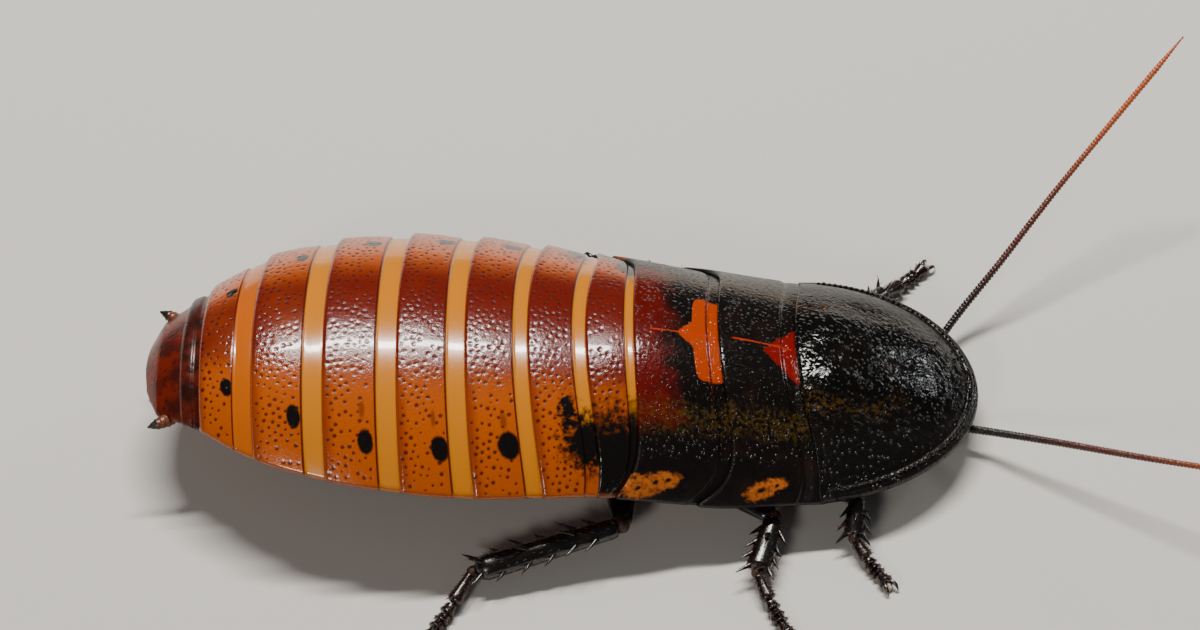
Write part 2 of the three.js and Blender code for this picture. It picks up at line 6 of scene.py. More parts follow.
import bmesh
import bpy
import numpy as np
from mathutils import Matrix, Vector


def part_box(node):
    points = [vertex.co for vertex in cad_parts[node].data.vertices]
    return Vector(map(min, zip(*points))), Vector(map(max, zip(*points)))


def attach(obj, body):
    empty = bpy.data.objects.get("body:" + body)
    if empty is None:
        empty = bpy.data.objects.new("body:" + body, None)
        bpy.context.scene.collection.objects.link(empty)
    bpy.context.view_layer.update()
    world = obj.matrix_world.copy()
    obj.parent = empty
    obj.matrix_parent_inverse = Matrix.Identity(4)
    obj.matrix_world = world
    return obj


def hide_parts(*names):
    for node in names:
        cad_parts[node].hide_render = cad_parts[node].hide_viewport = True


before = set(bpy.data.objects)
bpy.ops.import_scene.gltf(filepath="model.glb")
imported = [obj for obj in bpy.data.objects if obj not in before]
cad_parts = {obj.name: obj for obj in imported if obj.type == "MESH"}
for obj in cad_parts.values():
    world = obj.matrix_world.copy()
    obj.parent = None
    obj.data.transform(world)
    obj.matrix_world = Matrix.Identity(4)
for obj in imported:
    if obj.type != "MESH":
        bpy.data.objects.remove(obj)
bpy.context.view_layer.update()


# The camera and the animal's place
# Lengths of the animal are in millimetres from the middle of its abdomen's front, x towards the
# head and z up from the floor. The camera looks down on its right side at 50 degrees.
MM = 0.001
ABDOMEN_5_REAR = -19.85
box_low, box_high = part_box("abdomen_5")
ORIGIN = np.array([box_low[0] / MM - ABDOMEN_5_REAR, (box_low[1] + box_high[1]) / 2 / MM, 0.0])


def placed(points):
    """Points of the animal in millimetres, as metres in the frame."""
    return (np.asarray(points, float) + ORIGIN) * MM


CAMERA_HEIGHT_ANGLE = math.radians(50)
CAMERA_DISTANCE = 251.0
CAMERA_TARGET = np.array([0.0, 6.6, 5.0])
backwards = np.array([0.0, -math.cos(CAMERA_HEIGHT_ANGLE), math.sin(CAMERA_HEIGHT_ANGLE)])
camera_data = bpy.data.cameras.new("camera")
camera_data.lens = 100
camera_data.sensor_width = 36
camera_data.clip_start = 0.01
camera = bpy.data.objects.new("camera", camera_data)
camera.location = placed(CAMERA_TARGET + backwards * CAMERA_DISTANCE)
camera.rotation_euler = (math.radians(90) - CAMERA_HEIGHT_ANGLE, 0, 0)
bpy.context.scene.collection.objects.link(camera)
bpy.context.scene.camera = camera


# The back plates of the abdomen
# Seven hard plates of glossy orange-brown chitin lie like roof tiles, each with its rear edge over
# the smooth pale front band of the one behind it. Raised dark dots cover them up to the band.
SECTIONS = np.array([
    # station, half width, ridge height, margin height, belly height
    [-33.5, 2.6, 7.0, 6.5, 6.0],
    [-32.4, 4.0, 8.0, 6.7, 5.6],
    [-30.7, 5.1, 9.0, 7.2, 5.0],
    [-29.1, 6.2, 10.0, 7.7, 4.5],
    [-25.2, 9.0, 11.4, 8.1, 3.5],
    [-20.0, 10.9, 12.2, 8.0, 2.7],
    [-14.7, 11.8, 12.3, 7.7, 2.3],
    [-9.8, 12.0, 12.0, 7.2, 2.1],
    [-5.3, 11.7, 11.6, 6.8, 2.0],
    [-1.1, 11.2, 11.2, 6.3, 2.1],
    [2.4, 11.0, 11.0, 5.6, 2.4],
    [8.6, 10.8, 9.8, 4.2, 2.6],
    [14.2, 10.4, 8.3, 3.7, 2.7],
])
LIP = 0.48
BAND_RAISE = 0.07
RIM_RADIUS = 0.26
# Past a margin the plate rolls round its rim over this share, and then runs on as a narrow flange.
RIM_SHARE = 0.1
FLANGE_SHARES = (1.16, 1.24)
FLANGE_PER_SHARE = 10
# In front of this station the body bends a little to its left.
BEND_AT = -1.0
BEND_SLOPE = math.tan(math.radians(1.5))


def section(x):
    """Half width, ridge, margin and belly height of the body at the stations x."""
    table = SECTIONS
    x = np.asarray(x, float)
    k = np.clip(np.searchsorted(table[:, 0], x, side="right"), 1, len(table) - 1)
    a, b = table[k - 1], table[k]
    before, after = table[np.maximum(k - 2, 0)], table[np.minimum(k + 1, len(table) - 1)]
    h = b[..., 0] - a[..., 0]
    t = np.clip((x - a[..., 0]) / h, 0, 1)
    ease = t * t * (3 - 2 * t)
    found = []
    for c in (1, 2, 3, 4):
        leave = (b[..., c] - before[..., c]) / (b[..., 0] - before[..., 0]) * h
        arrive = (after[..., c] - a[..., c]) / (after[..., 0] - a[..., 0]) * h
        bulge = t * (1 - t) * ((1 - t) * leave - t * arrive)
        found.append(a[..., c] + (b[..., c] - a[..., c]) * ease + bulge)
    return found


def middle_y(x):
    """Where the middle of the body lies, from side to side."""
    return np.maximum(0, np.asarray(x, float) - BEND_AT) * BEND_SLOPE


def swept(t, sweep):
    """How far an edge runs ahead of its station at the ridge, from one margin to the other."""
    t = np.clip(t, -1, 1)
    return sweep[0] * t**2 + sweep[1] * t**6 + sweep[2] * t


def over_back(x, t, lift, shape):
    """Points across the back. Past the margins, at t beyond 1, they roll round the plate's rim."""
    half, ridge, margin = shape(x)[:3]
    inner = np.clip(t, -1, 1)
    arc = 2 * np.arctan((ridge - margin) / half)
    radius = half / np.sin(arc)
    angle = inner * arc
    outward = np.stack([np.zeros_like(angle), np.sin(angle), np.cos(angle)], -1)
    side = np.sign(inner)
    down = np.stack([np.zeros_like(angle), side * np.cos(angle), -side * np.sin(angle)], -1)
    base = np.stack([x, middle_y(x), margin - radius * np.cos(arc)], -1)
    surface = base + outward * (radius + lift)[..., None]
    past = np.abs(t) - np.abs(inner)
    roll = np.minimum(past / RIM_SHARE, 1) * math.pi
    inwards = np.maximum(past - RIM_SHARE, 0) * FLANGE_PER_SHARE
    rim = RIM_RADIUS * (outward * (np.cos(roll) - 1)[..., None] + down * np.sin(roll)[..., None])
    return surface + rim - down * inwards[..., None]


def across_columns(count, rim=6):
    """Shares across a plate, closer together at its rims."""
    rolled = [1 + RIM_SHARE * (i + 1) / rim for i in range(rim)] + list(FLANGE_SHARES)
    middle = np.linspace(-1, 1, count)
    return np.concatenate([-np.array(rolled[::-1]), middle, rolled])


def skin(name, grid, uv=None, wrap=False, pole_start=False, pole_end=False):
    """A mesh object through a grid of points in millimetres, rows by columns."""
    rows, columns = grid.shape[:2]
    points = [tuple(p) for p in placed(grid.reshape(-1, 3))]
    faces = []
    last = columns if wrap else columns - 1
    for r in range(rows - 1):
        for c in range(last):
            d = (c + 1) % columns
            faces.append((r * columns + c, r * columns + d, (r + 1) * columns + d, (r + 1) * columns + c))
    for pole, row in ((pole_start, 0), (pole_end, rows - 1)):
        if pole:
            middle = len(points)
            points.append(tuple(placed(grid[row].mean(0))))
            for c in range(columns):
                pair = (row * columns + c, row * columns + (c + 1) % columns)
                faces.append((middle, *pair) if row else (middle, *pair[::-1]))
    mesh = bpy.data.meshes.new(name)
    mesh.from_pydata(points, [], faces)
    if uv is not None:
        layer = mesh.uv_layers.new(name="plate")
        flat = [tuple(pair) for pair in uv.reshape(-1, 2)]
        flat += [tuple(uv[row].mean(0)) for pole, row in ((pole_start, 0), (pole_end, rows - 1)) if pole]
        for loop in mesh.loops:
            layer.data[loop.index].uv = flat[loop.vertex_index]
    mesh.shade_smooth()
    piece = bpy.data.objects.new(name, mesh)
    bpy.context.scene.collection.objects.link(piece)
    return piece


def faces_outwards(piece):
    """Turns a closed piece's faces outwards."""
    work = bmesh.new()
    work.from_mesh(piece.data)
    bmesh.ops.remove_doubles(work, verts=work.verts, dist=1e-7)
    bmesh.ops.recalc_face_normals(work, faces=work.faces)
    work.to_mesh(piece.data)
    work.free()
    piece.data.shade_smooth()


def plate_grid(rear, line, front, sweep, front_sweep, columns, rows):
    """A plate's points and its own coordinates: across, and along from rear to front edge."""
    long = front - rear
    seam = line - rear
    slope = seam - 0.3
    # Each step is a distance ahead of the rear edge and a height over the body's own curve. The
    # lip turns under at the rear edge, the field falls to the seam, and the band lies lowest.
    lip = [(0.55, -0.1), (0.12, -0.02), (0.02, 0.1), (0.0, 0.25), (0.05, LIP - 0.12), (0.14, LIP - 0.03)]
    field = [(0.28 + slope * i / rows, LIP - (LIP - 0.24) * (i / rows) ** 1.3) for i in range(rows + 1)]
    band = [(seam + 0.05, 0.17), (seam + 0.12, 0.08), (seam + 0.3, BAND_RAISE)]
    band += [(seam + 0.3 + (long - seam - 0.35) * i / 6, BAND_RAISE) for i in range(1, 7)]
    hidden = [(long + 0.45, 0.0), (long + 0.9, -0.12)]
    profile = np.array(lip + field + band + hidden)
    t = across_columns(columns)
    share = np.clip(profile[:, 0] / long, 0, 1)[:, None]
    ahead = swept(t, sweep)[None, :] * (1 - share) + swept(t, front_sweep)[None, :] * share
    x = rear + profile[:, 0][:, None] + ahead
    across = np.broadcast_to(t, x.shape)
    lift = np.broadcast_to(profile[:, 1][:, None], x.shape)
    along = np.broadcast_to((profile[:, 0] / long)[:, None], x.shape)
    return over_back(x, across, lift, section), np.stack([across, along], -1)


def store(piece, name, values):
    """Keeps one number for each point of the piece's mesh."""
    layer = piece.data.attributes.new(name, "FLOAT", "POINT")
    layer.data.foreach_set("value", np.asarray(values, np.float32).ravel())


class GeometryTree:
    """A tree of geometry nodes: its named inputs, its nodes and its finished result."""

    def __init__(self, name, **inputs):
        self.tree = bpy.data.node_groups.new(name, "GeometryNodeTree")
        for label, kind in inputs.items():
            socket_type = f"NodeSocket{kind}"
            self.tree.interface.new_socket(label.replace("_", " "), in_out="INPUT", socket_type=socket_type)
        self.given = self.node("NodeGroupInput").outputs

    def node(self, kind, settings=None, inputs=None):
        made = self.tree.nodes.new(kind)
        for key, value in (settings or {}).items():
            setattr(made, key, value)
        for key, value in (inputs or {}).items():
            if isinstance(value, bpy.types.NodeSocket):
                self.tree.links.new(value, made.inputs[key])
            else:
                made.inputs[key].default_value = value
        return made

    def worked(self, operation, first, second=0.0):
        """A number worked out from one or two others."""
        return self.node("ShaderNodeMath", {"operation": operation}, {0: first, 1: second}).outputs[0]

    def named(self, name):
        """The number that the mesh keeps for each point under this name."""
        return self.node("GeometryNodeInputNamedAttribute", {}, {"Name": name}).outputs["Attribute"]

    def chance(self, low, high, seed):
        """A random number for each point."""
        return self.node("FunctionNodeRandomValue", {}, {2: low, 3: high, "Seed": seed}).outputs[1]

    def finished(self, geometry):
        """The whole tree, with this geometry as its result."""
        self.tree.interface.new_socket("Result", in_out="OUTPUT", socket_type="NodeSocketGeometry")
        real = self.node("GeometryNodeRealizeInstances", {}, {"Geometry": geometry})
        inputs = {"Geometry": real.outputs["Geometry"], "Material": self.given["Finish"]}
        finish = self.node("GeometryNodeSetMaterial", {}, inputs)
        self.node("NodeGroupOutput", {}, {"Result": finish.outputs["Geometry"]})
        return self.tree


DOTS_PER_SQUARE_METRE = 3e7


def raised_dots_tree():
    """Scatters dots over a plate, raises the skin there and marks it with the attribute dot."""
    lengths = {"Spacing": "Float", "Dot_Radius": "Float", "Dot_Height": "Float"}
    tree = GeometryTree("raised_dots", Plate="Geometry", **lengths, Seed="Int", Finish="Material")
    scatter = tree.node(
        "GeometryNodeDistributePointsOnFaces",
        {"distribute_method": "POISSON"},
        {
            "Mesh": tree.given["Plate"],
            "Distance Min": tree.given["Spacing"],
            "Density Max": DOTS_PER_SQUARE_METRE,
            "Density Factor": tree.named("density"),
            "Seed": tree.given["Seed"],
        },
    )
    reach = tree.worked("MULTIPLY", tree.chance(0.55, 1.15, 4), tree.given["Dot Radius"])
    dots = tree.node(
        "GeometryNodeStoreNamedAttribute",
        {"data_type": "FLOAT", "domain": "POINT"},
        {"Geometry": scatter.outputs["Points"], "Name": "reach", "Value": reach},
    ).outputs["Geometry"]
    near = tree.node("GeometryNodeProximity", {"target_element": "POINTS"}, {0: dots})
    index = tree.node("GeometryNodeSampleNearest", {"domain": "POINT"}, {"Geometry": dots})
    its_reach = tree.node(
        "GeometryNodeSampleIndex",
        {"data_type": "FLOAT", "domain": "POINT"},
        {"Geometry": dots, "Value": tree.named("reach"), "Index": index.outputs["Index"]},
    )
    share = tree.worked("DIVIDE", near.outputs["Distance"], its_reach.outputs[0])
    dome = tree.node(
        "ShaderNodeMapRange",
        {"interpolation_type": "SMOOTHSTEP"},
        {"Value": share, "From Min": 0.25, "From Max": 1.1, "To Min": 1.0, "To Max": 0.0},
    ).outputs[0]
    marked = tree.node(
        "GeometryNodeStoreNamedAttribute",
        {"data_type": "FLOAT", "domain": "POINT"},
        {"Geometry": tree.given["Plate"], "Name": "dot", "Value": dome},
    )
    height = tree.worked("MULTIPLY", dome, tree.given["Dot Height"])
    normal = tree.node("GeometryNodeInputNormal").outputs[0]
    push = tree.node("ShaderNodeVectorMath", {"operation": "SCALE"}, {0: normal, "Scale": height})
    inputs = {"Geometry": marked.outputs["Geometry"], "Offset": push.outputs[0]}
    raised = tree.node("GeometryNodeSetPosition", {}, inputs)
    return tree.finished(raised.outputs["Geometry"])


def run_tree(piece, tree, **values):
    """Runs a geometry tree on a piece with the named inputs, and keeps its result as a plain mesh."""
    modifier = piece.modifiers.new(tree.name, "NODES")
    modifier.node_group = tree
    sockets = {item.name: item.identifier for item in tree.interface.items_tree if item.in_out == "INPUT"}
    for label, value in values.items():
        modifier[sockets[label.replace("_", " ")]] = value
    ready = bpy.context.evaluated_depsgraph_get()
    plain = bpy.data.meshes.new_from_object(piece.evaluated_get(ready))
    piece.modifiers.remove(modifier)
    piece.data = plain
    plain.name = piece.name
    return piece


class Value:
    """A number, vector or colour that a material's nodes work out, for use in expressions."""

    def __init__(self, paint, socket):
        self.paint = paint
        self.socket = socket

    def worked(self, operation, *others):
        inputs = dict(enumerate((self, *others)))
        return self.paint.node("ShaderNodeMath", {"operation": operation}, inputs)

    def __add__(self, other):
        return self.worked("ADD", other)

    def __radd__(self, other):
        return self.worked("ADD", other)

    def __sub__(self, other):
        return self.worked("SUBTRACT", other)

    def __rsub__(self, other):
        return self.paint.node("ShaderNodeMath", {"operation": "SUBTRACT"}, {0: other, 1: self})

    def __mul__(self, other):
        return self.worked("MULTIPLY", other)

    def __rmul__(self, other):
        return self.worked("MULTIPLY", other)

    def __truediv__(self, other):
        return self.worked("DIVIDE", other)

    def __pow__(self, other):
        return self.worked("POWER", other)

    def __abs__(self):
        return self.worked("ABSOLUTE")

    def higher(self, other):
        return self.worked("MAXIMUM", other)

    def between(self, low, high):
        """0 below low, 1 above high, smooth between them. With low over high it falls instead."""
        turned = low > high
        first, last = (high, low) if turned else (low, high)
        ends = {"From Min": first, "From Max": last, "To Min": float(turned), "To Max": float(not turned)}
        smooth = {"interpolation_type": "SMOOTHSTEP"}
        return self.paint.node("ShaderNodeMapRange", smooth, {"Value": self, **ends})


def highest(values):
    """The highest of several values at each place."""
    found = values[0]
    for value in values[1:]:
        found = found.higher(value)
    return found


class Paint:
    """A material, and the nodes that work out how it varies over its surface."""

    def __init__(self, name, roughness=0.35, coat=0.0, coat_roughness=0.1, specular=0.5):
        self.material = bpy.data.materials.new(name)
        self.material.use_nodes = True
        self.tree = self.material.node_tree
        self.shader = self.tree.nodes["Principled BSDF"]
        self.shader.inputs["Roughness"].default_value = roughness
        self.shader.inputs["Coat Weight"].default_value = coat
        self.shader.inputs["Coat Roughness"].default_value = coat_roughness
        self.shader.inputs["Specular IOR Level"].default_value = specular

    def join(self, value, socket):
        if isinstance(value, Value):
            self.tree.links.new(value.socket, socket)
        else:
            socket.default_value = value

    def node(self, kind, settings=None, inputs=None, output=0):
        made = self.tree.nodes.new(kind)
        for key, value in (settings or {}).items():
            setattr(made, key, value)
        for key, value in (inputs or {}).items():
            self.join(value, made.inputs[key])
        return Value(self, made.outputs[output])

    def across_along(self):
        """The plate's own coordinates: across it, and along it from its rear edge."""
        where = self.node("ShaderNodeUVMap", {"uv_map": "plate"})
        return [self.node("ShaderNodeSeparateXYZ", {}, {0: where}, output=k) for k in (0, 1)]

    def attribute(self, name):
        return self.node("ShaderNodeAttribute", {"attribute_name": name}, output="Fac")

    def place(self):
        return self.node("ShaderNodeTexCoord", {}, {}, output="Object")

    def noise(self, per_mm, detail=3.0):
        """Cloudy noise round 0.5, with this many clouds to the millimetre."""
        inputs = {"Vector": self.place(), "Scale": per_mm / MM, "Detail": detail, "Roughness": 0.55}
        return self.node("ShaderNodeTexNoise", {}, inputs)

    def grains(self, per_mm):
        """The distance to the nearest of scattered grains, in shares of their spacing."""
        inputs = {"Vector": self.place(), "Scale": per_mm / MM}
        return self.node("ShaderNodeTexVoronoi", {}, inputs, output="Distance")

    def mixed(self, share, first, second):
        """From the first colour to the second. Colours are red, green and blue, or worked out."""
        full = [c if isinstance(c, Value) else (*c, 1.0) for c in (first, second)]
        return self.node("ShaderNodeMix", {"data_type": "RGBA"}, {0: share, 6: full[0], 7: full[1]}, output=2)

    def oval(self, across, along, centre, radii, ragged=0.0, soft=0.25):
        """1 inside an oval spot and 0 outside it."""
        u = (across - centre[0]) / radii[0]
        v = (along - centre[1]) / radii[1]
        far = (u * u + v * v) ** 0.5
        if ragged:
            far = far + (self.noise(2.2, 2.0) - 0.5) * ragged
        return far.between(1 + soft, 1 - soft)

    def bump(self, height, distance_mm, strength):
        inputs = {"Height": height, "Distance": distance_mm * MM, "Strength": strength}
        return self.node("ShaderNodeBump", {}, inputs)

    def finish(self, **sockets):
        """Joins the worked-out values to the surface's sockets, and gives the material."""
        for key, value in sockets.items():
            self.join(value, self.shader.inputs[key.replace("_", " ")])
        return self.material


def srgb(red, green, blue):
    """A colour as seen on a screen, 0 to 255, as the light that a material sends back."""
    shares = [c / 255 for c in (red, green, blue)]
    return tuple(((c + 0.055) / 1.055) ** 2.4 if c > 0.04 else c / 12.92 for c in shares)


ORANGE = srgb(172, 76, 1)
RED_BROWN = srgb(98, 16, 1)
DOT_RED = srgb(62, 10, 2)
LINE_RED = srgb(70, 10, 4)
PALE = srgb(196, 118, 14)
NEAR_BLACK = srgb(11, 6, 4)


def abdomen_paint(name, seam, redness, spots, dashes, blotches, pale, fades, fade_to):
    """Chitin of one back plate. seam is where the pale band starts along it."""
    paint = Paint(name, roughness=0.3, coat=0.42, coat_roughness=0.07, specular=0.4)
    across, along = paint.across_along()
    cloud = paint.noise(0.35, 3.0)
    fine = paint.noise(5.0, 2.0)
    dot = paint.attribute("dot")
    middle = (abs(across - 0.06) + (cloud - 0.5) * 0.25).between(0.62, 0.2)
    red = (middle * (0.55 + redness * 0.45) + (cloud - 0.5) * 0.5).between(0.0, 1.0)
    colour = paint.mixed(red, ORANGE, RED_BROWN)
    colour = paint.mixed((along - seam * 0.15).between(0.1, -0.08) * 0.6, colour, RED_BROWN)
    colour = paint.mixed((fine - 0.5).between(0.05, 0.25) * 0.25, colour, RED_BROWN)
    colour = paint.mixed(dot.between(0.05, 0.75) * 0.88, colour, DOT_RED)
    dark = [paint.oval(across, along, *spot, ragged=0.25, soft=0.15) for spot in spots]
    dark += [paint.oval(across, along, *dash, ragged=0.4, soft=0.5) * 0.5 for dash in dashes]
    if dark:
        colour = paint.mixed(highest(dark), colour, NEAR_BLACK)
    band = along.between(seam - 0.004, seam + 0.008)
    band_colour = pale
    for start, end in fades:
        band_colour = paint.mixed(across.between(start, end), band_colour, fade_to)
    colour = paint.mixed(band, colour, band_colour)
    line = abs(along - seam).between(0.022, 0.008)
    colour = paint.mixed(line * 0.9, colour, LINE_RED)
    for centre, radii, ragged in blotches:
        blotch = paint.oval(across, along, centre, radii, ragged=ragged, soft=0.4)
        colour = paint.mixed(blotch, colour, NEAR_BLACK)
    rim = abs(across).between(0.975, 1.0)
    colour = paint.mixed(rim * 0.5, colour, srgb(150, 70, 14))
    rough = 0.2 + dot * 0.06 + (fine - 0.5) * 0.12
    ripple = paint.noise(7.0, 2.0) * (1 - band * 0.93)
    return paint.finish(Base_Color=colour, Roughness=rough, Normal=paint.bump(ripple, 0.035, 0.6))


# Each plate: rear edge, seam line, front edge, sweep of its rear edge, redness of its middle.
PLATES = {
    "abdomen_7": (-29.1, -26.6, -25.2, (0.2, 0, 0), 0.45),
    "abdomen_6": (-25.2, -21.5, -20.0, (0.4, 0, 0), 0.6),
    "abdomen_5": (-20.0, -16.2, -14.7, (0.4, 0, 0), 0.8),
    "abdomen_4": (-14.7, -11.2, -9.8, (0.5, 0, 0), 0.9),
    "abdomen_3": (-9.8, -6.4, -5.3, (0.8, 0, 0), 0.9),
    "abdomen_2": (-5.3, -2.1, -1.1, (1.4, -0.2, 0), 1.0),
    "abdomen_1": (-1.1, 1.7, 2.4, (2.0, -1.1, 0), 1.5),
    "metathorax": (2.4, 7.75, 8.6, (1.0, -2.4, -0.1), 0),
    "mesothorax": (8.6, 13.2, 14.0, (2.2, -4.2, -0.4), 0),
}
SHIELD_SWEEP = (2.4, -1.4, -0.4)
# Where the black spots lie: station, share across, half length along, half share across.
SPOTS = {
    "abdomen_7": [(-26.9, -0.54, 0.45, 0.075), (-27.1, 0.5, 0.4, 0.06)],
    "abdomen_6": [(-21.9, -0.67, 0.5, 0.075), (-22.1, 0.7, 0.45, 0.06)],
    "abdomen_5": [(-16.7, -0.76, 0.55, 0.07), (-16.9, 0.78, 0.6, 0.05)],
    "abdomen_4": [(-11.4, -0.76, 0.62, 0.07), (-11.5, 0.8, 0.65, 0.05)],
    "abdomen_3": [(-6.5, -0.73, 0.75, 0.075), (-6.6, 0.8, 0.75, 0.05)],
}
DASHES = {
    "abdomen_5": [(-17.0, -0.58, 0.2, 0.05)],
    "abdomen_4": [(-11.9, -0.6, 0.14, 0.045)],
    "abdomen_3": [(-6.9, -0.6, 0.22, 0.045)],
}


def next_sweep(name):
    """The sweep of a plate's front edge, which is the rear edge of the plate in front of it."""
    order = list(PLATES)
    position = order.index(name)
    return PLATES[order[position + 1]][3] if position + 1 < len(order) else SHIELD_SWEEP


def on_plate(name, station, across):
    """A station's share along a plate, at a share across it."""
    rear, _, front, sweep, _ = PLATES[name]
    start = rear + swept(across, sweep)
    end = front + swept(across, next_sweep(name))
    return (station - start) / (end - start)


def plate_marks(name, table):
    """A plate's marks: middle and half size, as share across and share along the plate."""
    rear, _, front = PLATES[name][:3]
    return [
        ((across, on_plate(name, station, across)), (wide, long / (front - rear)))
        for station, across, long, wide in table.get(name, [])
    ]


# Ragged black blotches at the sides of the first two plates: middle and half size, as share across
# and share along the plate, and how ragged the edge is.
BLOTCHES = {
    "abdomen_2": [
        ((-0.53, 0.6), (0.09, 0.13), 2.4),
        ((-0.71, 0.86), (0.16, 0.42), 1.9),
        ((0.86, 0.62), (0.14, 0.2), 2.4),
    ],
    "abdomen_1": [
        ((-0.86, 0.5), (0.36, 1.4), 1.2),
        ((0.88, 0.35), (0.14, 0.35), 2.4),
        ((0.68, 0.8), (0.14, 0.3), 2.4),
    ],
}
# Where across the plate the pale band fades out, and what it fades to.
FADES = {
    "abdomen_2": (((-0.58, -0.66), (0.86, 0.95)), ORANGE),
    "abdomen_1": (((-0.4, -0.62), (0.4, 0.62)), NEAR_BLACK),
}


def dot_density(uv, seam):
    """How densely the dots lie: over the field behind the seam, with a row at the rear edge."""
    across, along = np.abs(uv[..., 0]), uv[..., 1]
    edge_row = np.exp(-(((along - 0.1) / 0.035) ** 2))
    field = 0.95 - 0.45 * along + edge_row
    inside = (along > 0.055) & (along < seam - 0.06) & (across < 0.985)
    return np.clip(np.where(inside, field, 0.0), 0, 1)


LAST_BAND = srgb(184, 90, 6)
DOT_SPACING = 0.47
DOT_RADIUS = 0.19
DOT_HEIGHT = 0.032
ABDOMEN_NUMBERS = range(7, 0, -1)
dots_tree = raised_dots_tree()
dot_sizes = {"Spacing": DOT_SPACING * MM, "Dot_Radius": DOT_RADIUS * MM, "Dot_Height": DOT_HEIGHT * MM}
for number in ABDOMEN_NUMBERS:
    name = f"abdomen_{number}"
    rear, line, front, sweep, redness = PLATES[name]
    seam = (line - rear) / (front - rear)
    grid, uv = plate_grid(rear, line, front, sweep, next_sweep(name), columns=260, rows=34)
    tergite = skin(f"back_plate_{number}", grid, uv)
    store(tergite, "density", dot_density(uv, seam))
    fades, fade_to = FADES.get(name, ((), NEAR_BLACK))
    finish = abdomen_paint(
        f"{name}_chitin",
        seam,
        redness,
        spots=plate_marks(name, SPOTS),
        dashes=plate_marks(name, DASHES),
        blotches=BLOTCHES.get(name, ()),
        pale=LAST_BAND if number == 7 else PALE,
        fades=fades,
        fade_to=fade_to,
    )
    run_tree(tergite, dots_tree, **dot_sizes, Seed=number, Finish=finish)
    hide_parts(name)
    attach(tergite, "root")


# The belly plates of the abdomen
# Flatter, smoother chitin plates close the abdomen from below, each over the front of the one
# behind it. Soft folded skin joins their ends to the rims of the back plates.
BELLY_INSET = 1.4
BELLY_DROP = 0.8
BELLY_LIP = 0.22
BELLY_OVERLAP = 0.7
# Across and up from a belly plate's end: the foot and the top of the fold of skin beside it.
FOLD_FOOT = (0.28, 0.18)
FOLD_TOP = (0.8, 0.78)


def belly_grid(rear, front, sweep, front_sweep, columns=90, rows=12, hidden=BELLY_OVERLAP):
    """Points over a belly plate, from margin to margin, with a fold of skin at each end."""
    t = np.linspace(-1, 1, columns)
    long = front - rear
    steps = [(0.35, -0.1), (0.02, 0.0), (0.0, BELLY_LIP * 0.7), (0.1, BELLY_LIP)]
    steps += [(0.1 + (long - 0.2) * i / rows, BELLY_LIP * (1 - i / rows) ** 0.7) for i in range(1, rows + 1)]
    steps += [(long + hidden, -0.15)]
    profile = np.array(steps)
    share = np.clip(profile[:, 0] / long, 0, 1)[:, None]
    ahead = swept(t, sweep)[None, :] * (1 - share) + swept(t, front_sweep)[None, :] * share
    x = rear + profile[:, 0][:, None] + ahead
    half, _, margin, bottom = section(x)
    angle = np.broadcast_to(t, x.shape) * math.pi / 2
    flange = margin - BELLY_DROP
    lift = profile[:, 1][:, None]
    y = middle_y(x) + (half - BELLY_INSET + lift * 0.5) * np.sin(angle)
    z = flange - (flange - bottom) * np.maximum(np.cos(angle), 0) ** 0.75 - lift
    belly = np.stack([x, y, z], -1)
    folds = []
    for side, column in ((-1, 0), (1, -1)):
        foot, top = (np.array([0, side * across, up]) for across, up in (FOLD_FOOT, FOLD_TOP))
        folds.append([belly[:, column] + top, belly[:, column] + foot])
    left = np.stack(folds[0], 1)
    right = np.stack(folds[1][::-1], 1)
    points = np.concatenate([left, belly, right], 1)
    t_with_folds = np.concatenate([[-1.1, -1.05], t, [1.05, 1.1]])
    uv = np.stack(np.broadcast_arrays(t_with_folds[None, :], share), -1)
    return points[:, ::-1], uv[:, ::-1]


def belly_paint(name, base, edge, skin_colour):
    """Smooth chitin, darker at its edges, with the skin of the folds past its ends."""
    paint = Paint(name, roughness=0.32, coat=0.35, coat_roughness=0.2)
    across, along = paint.across_along()
    cloud = paint.noise(0.5, 3.0)
    colour = paint.mixed((cloud - 0.5).between(-0.1, 0.3) * 0.7, base, edge)
    colour = paint.mixed(along.between(0.25, 0.0) * 0.8, colour, edge)
    colour = paint.mixed(abs(across).between(0.6, 0.95) * 0.6, colour, edge)
    colour = paint.mixed((abs(across) - 1.0).between(-0.03, 0.02), colour, skin_colour)
    return paint.finish(
        Base_Color=colour,
        Roughness=0.28 + (cloud - 0.5) * 0.2,
        Normal=paint.bump(paint.noise(4.0, 3.0), 0.03, 0.5),
    )


abdomen_belly = belly_paint("belly_chitin", srgb(134, 66, 14), srgb(62, 20, 5), srgb(112, 70, 34))
for number in ABDOMEN_NUMBERS:
    name = f"abdomen_{number}"
    rear, _, front, sweep, _ = PLATES[name]
    grid, uv = belly_grid(rear, front, sweep, next_sweep(name))
    sternite = skin(f"belly_plate_{number}", grid, uv)
    sternite.data.materials.append(abdomen_belly)
    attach(sternite, "root")


# The tail
# A narrow dark plate and the blunt dark red last plate close the abdomen, with the belly's last
# plates below and two soft lobes between. A short jointed feeler stands out at each side.
TAIL_END = -33.4
TAIL_BLUNT = 1.6
TAIL_BAND_REAR = -30.6
TAIL_BAND_SEAM = -29.65
TAIL_BAND_FRONT = PLATES["abdomen_7"][0]
TAIL_SWEEP = (0.2, 0, 0)


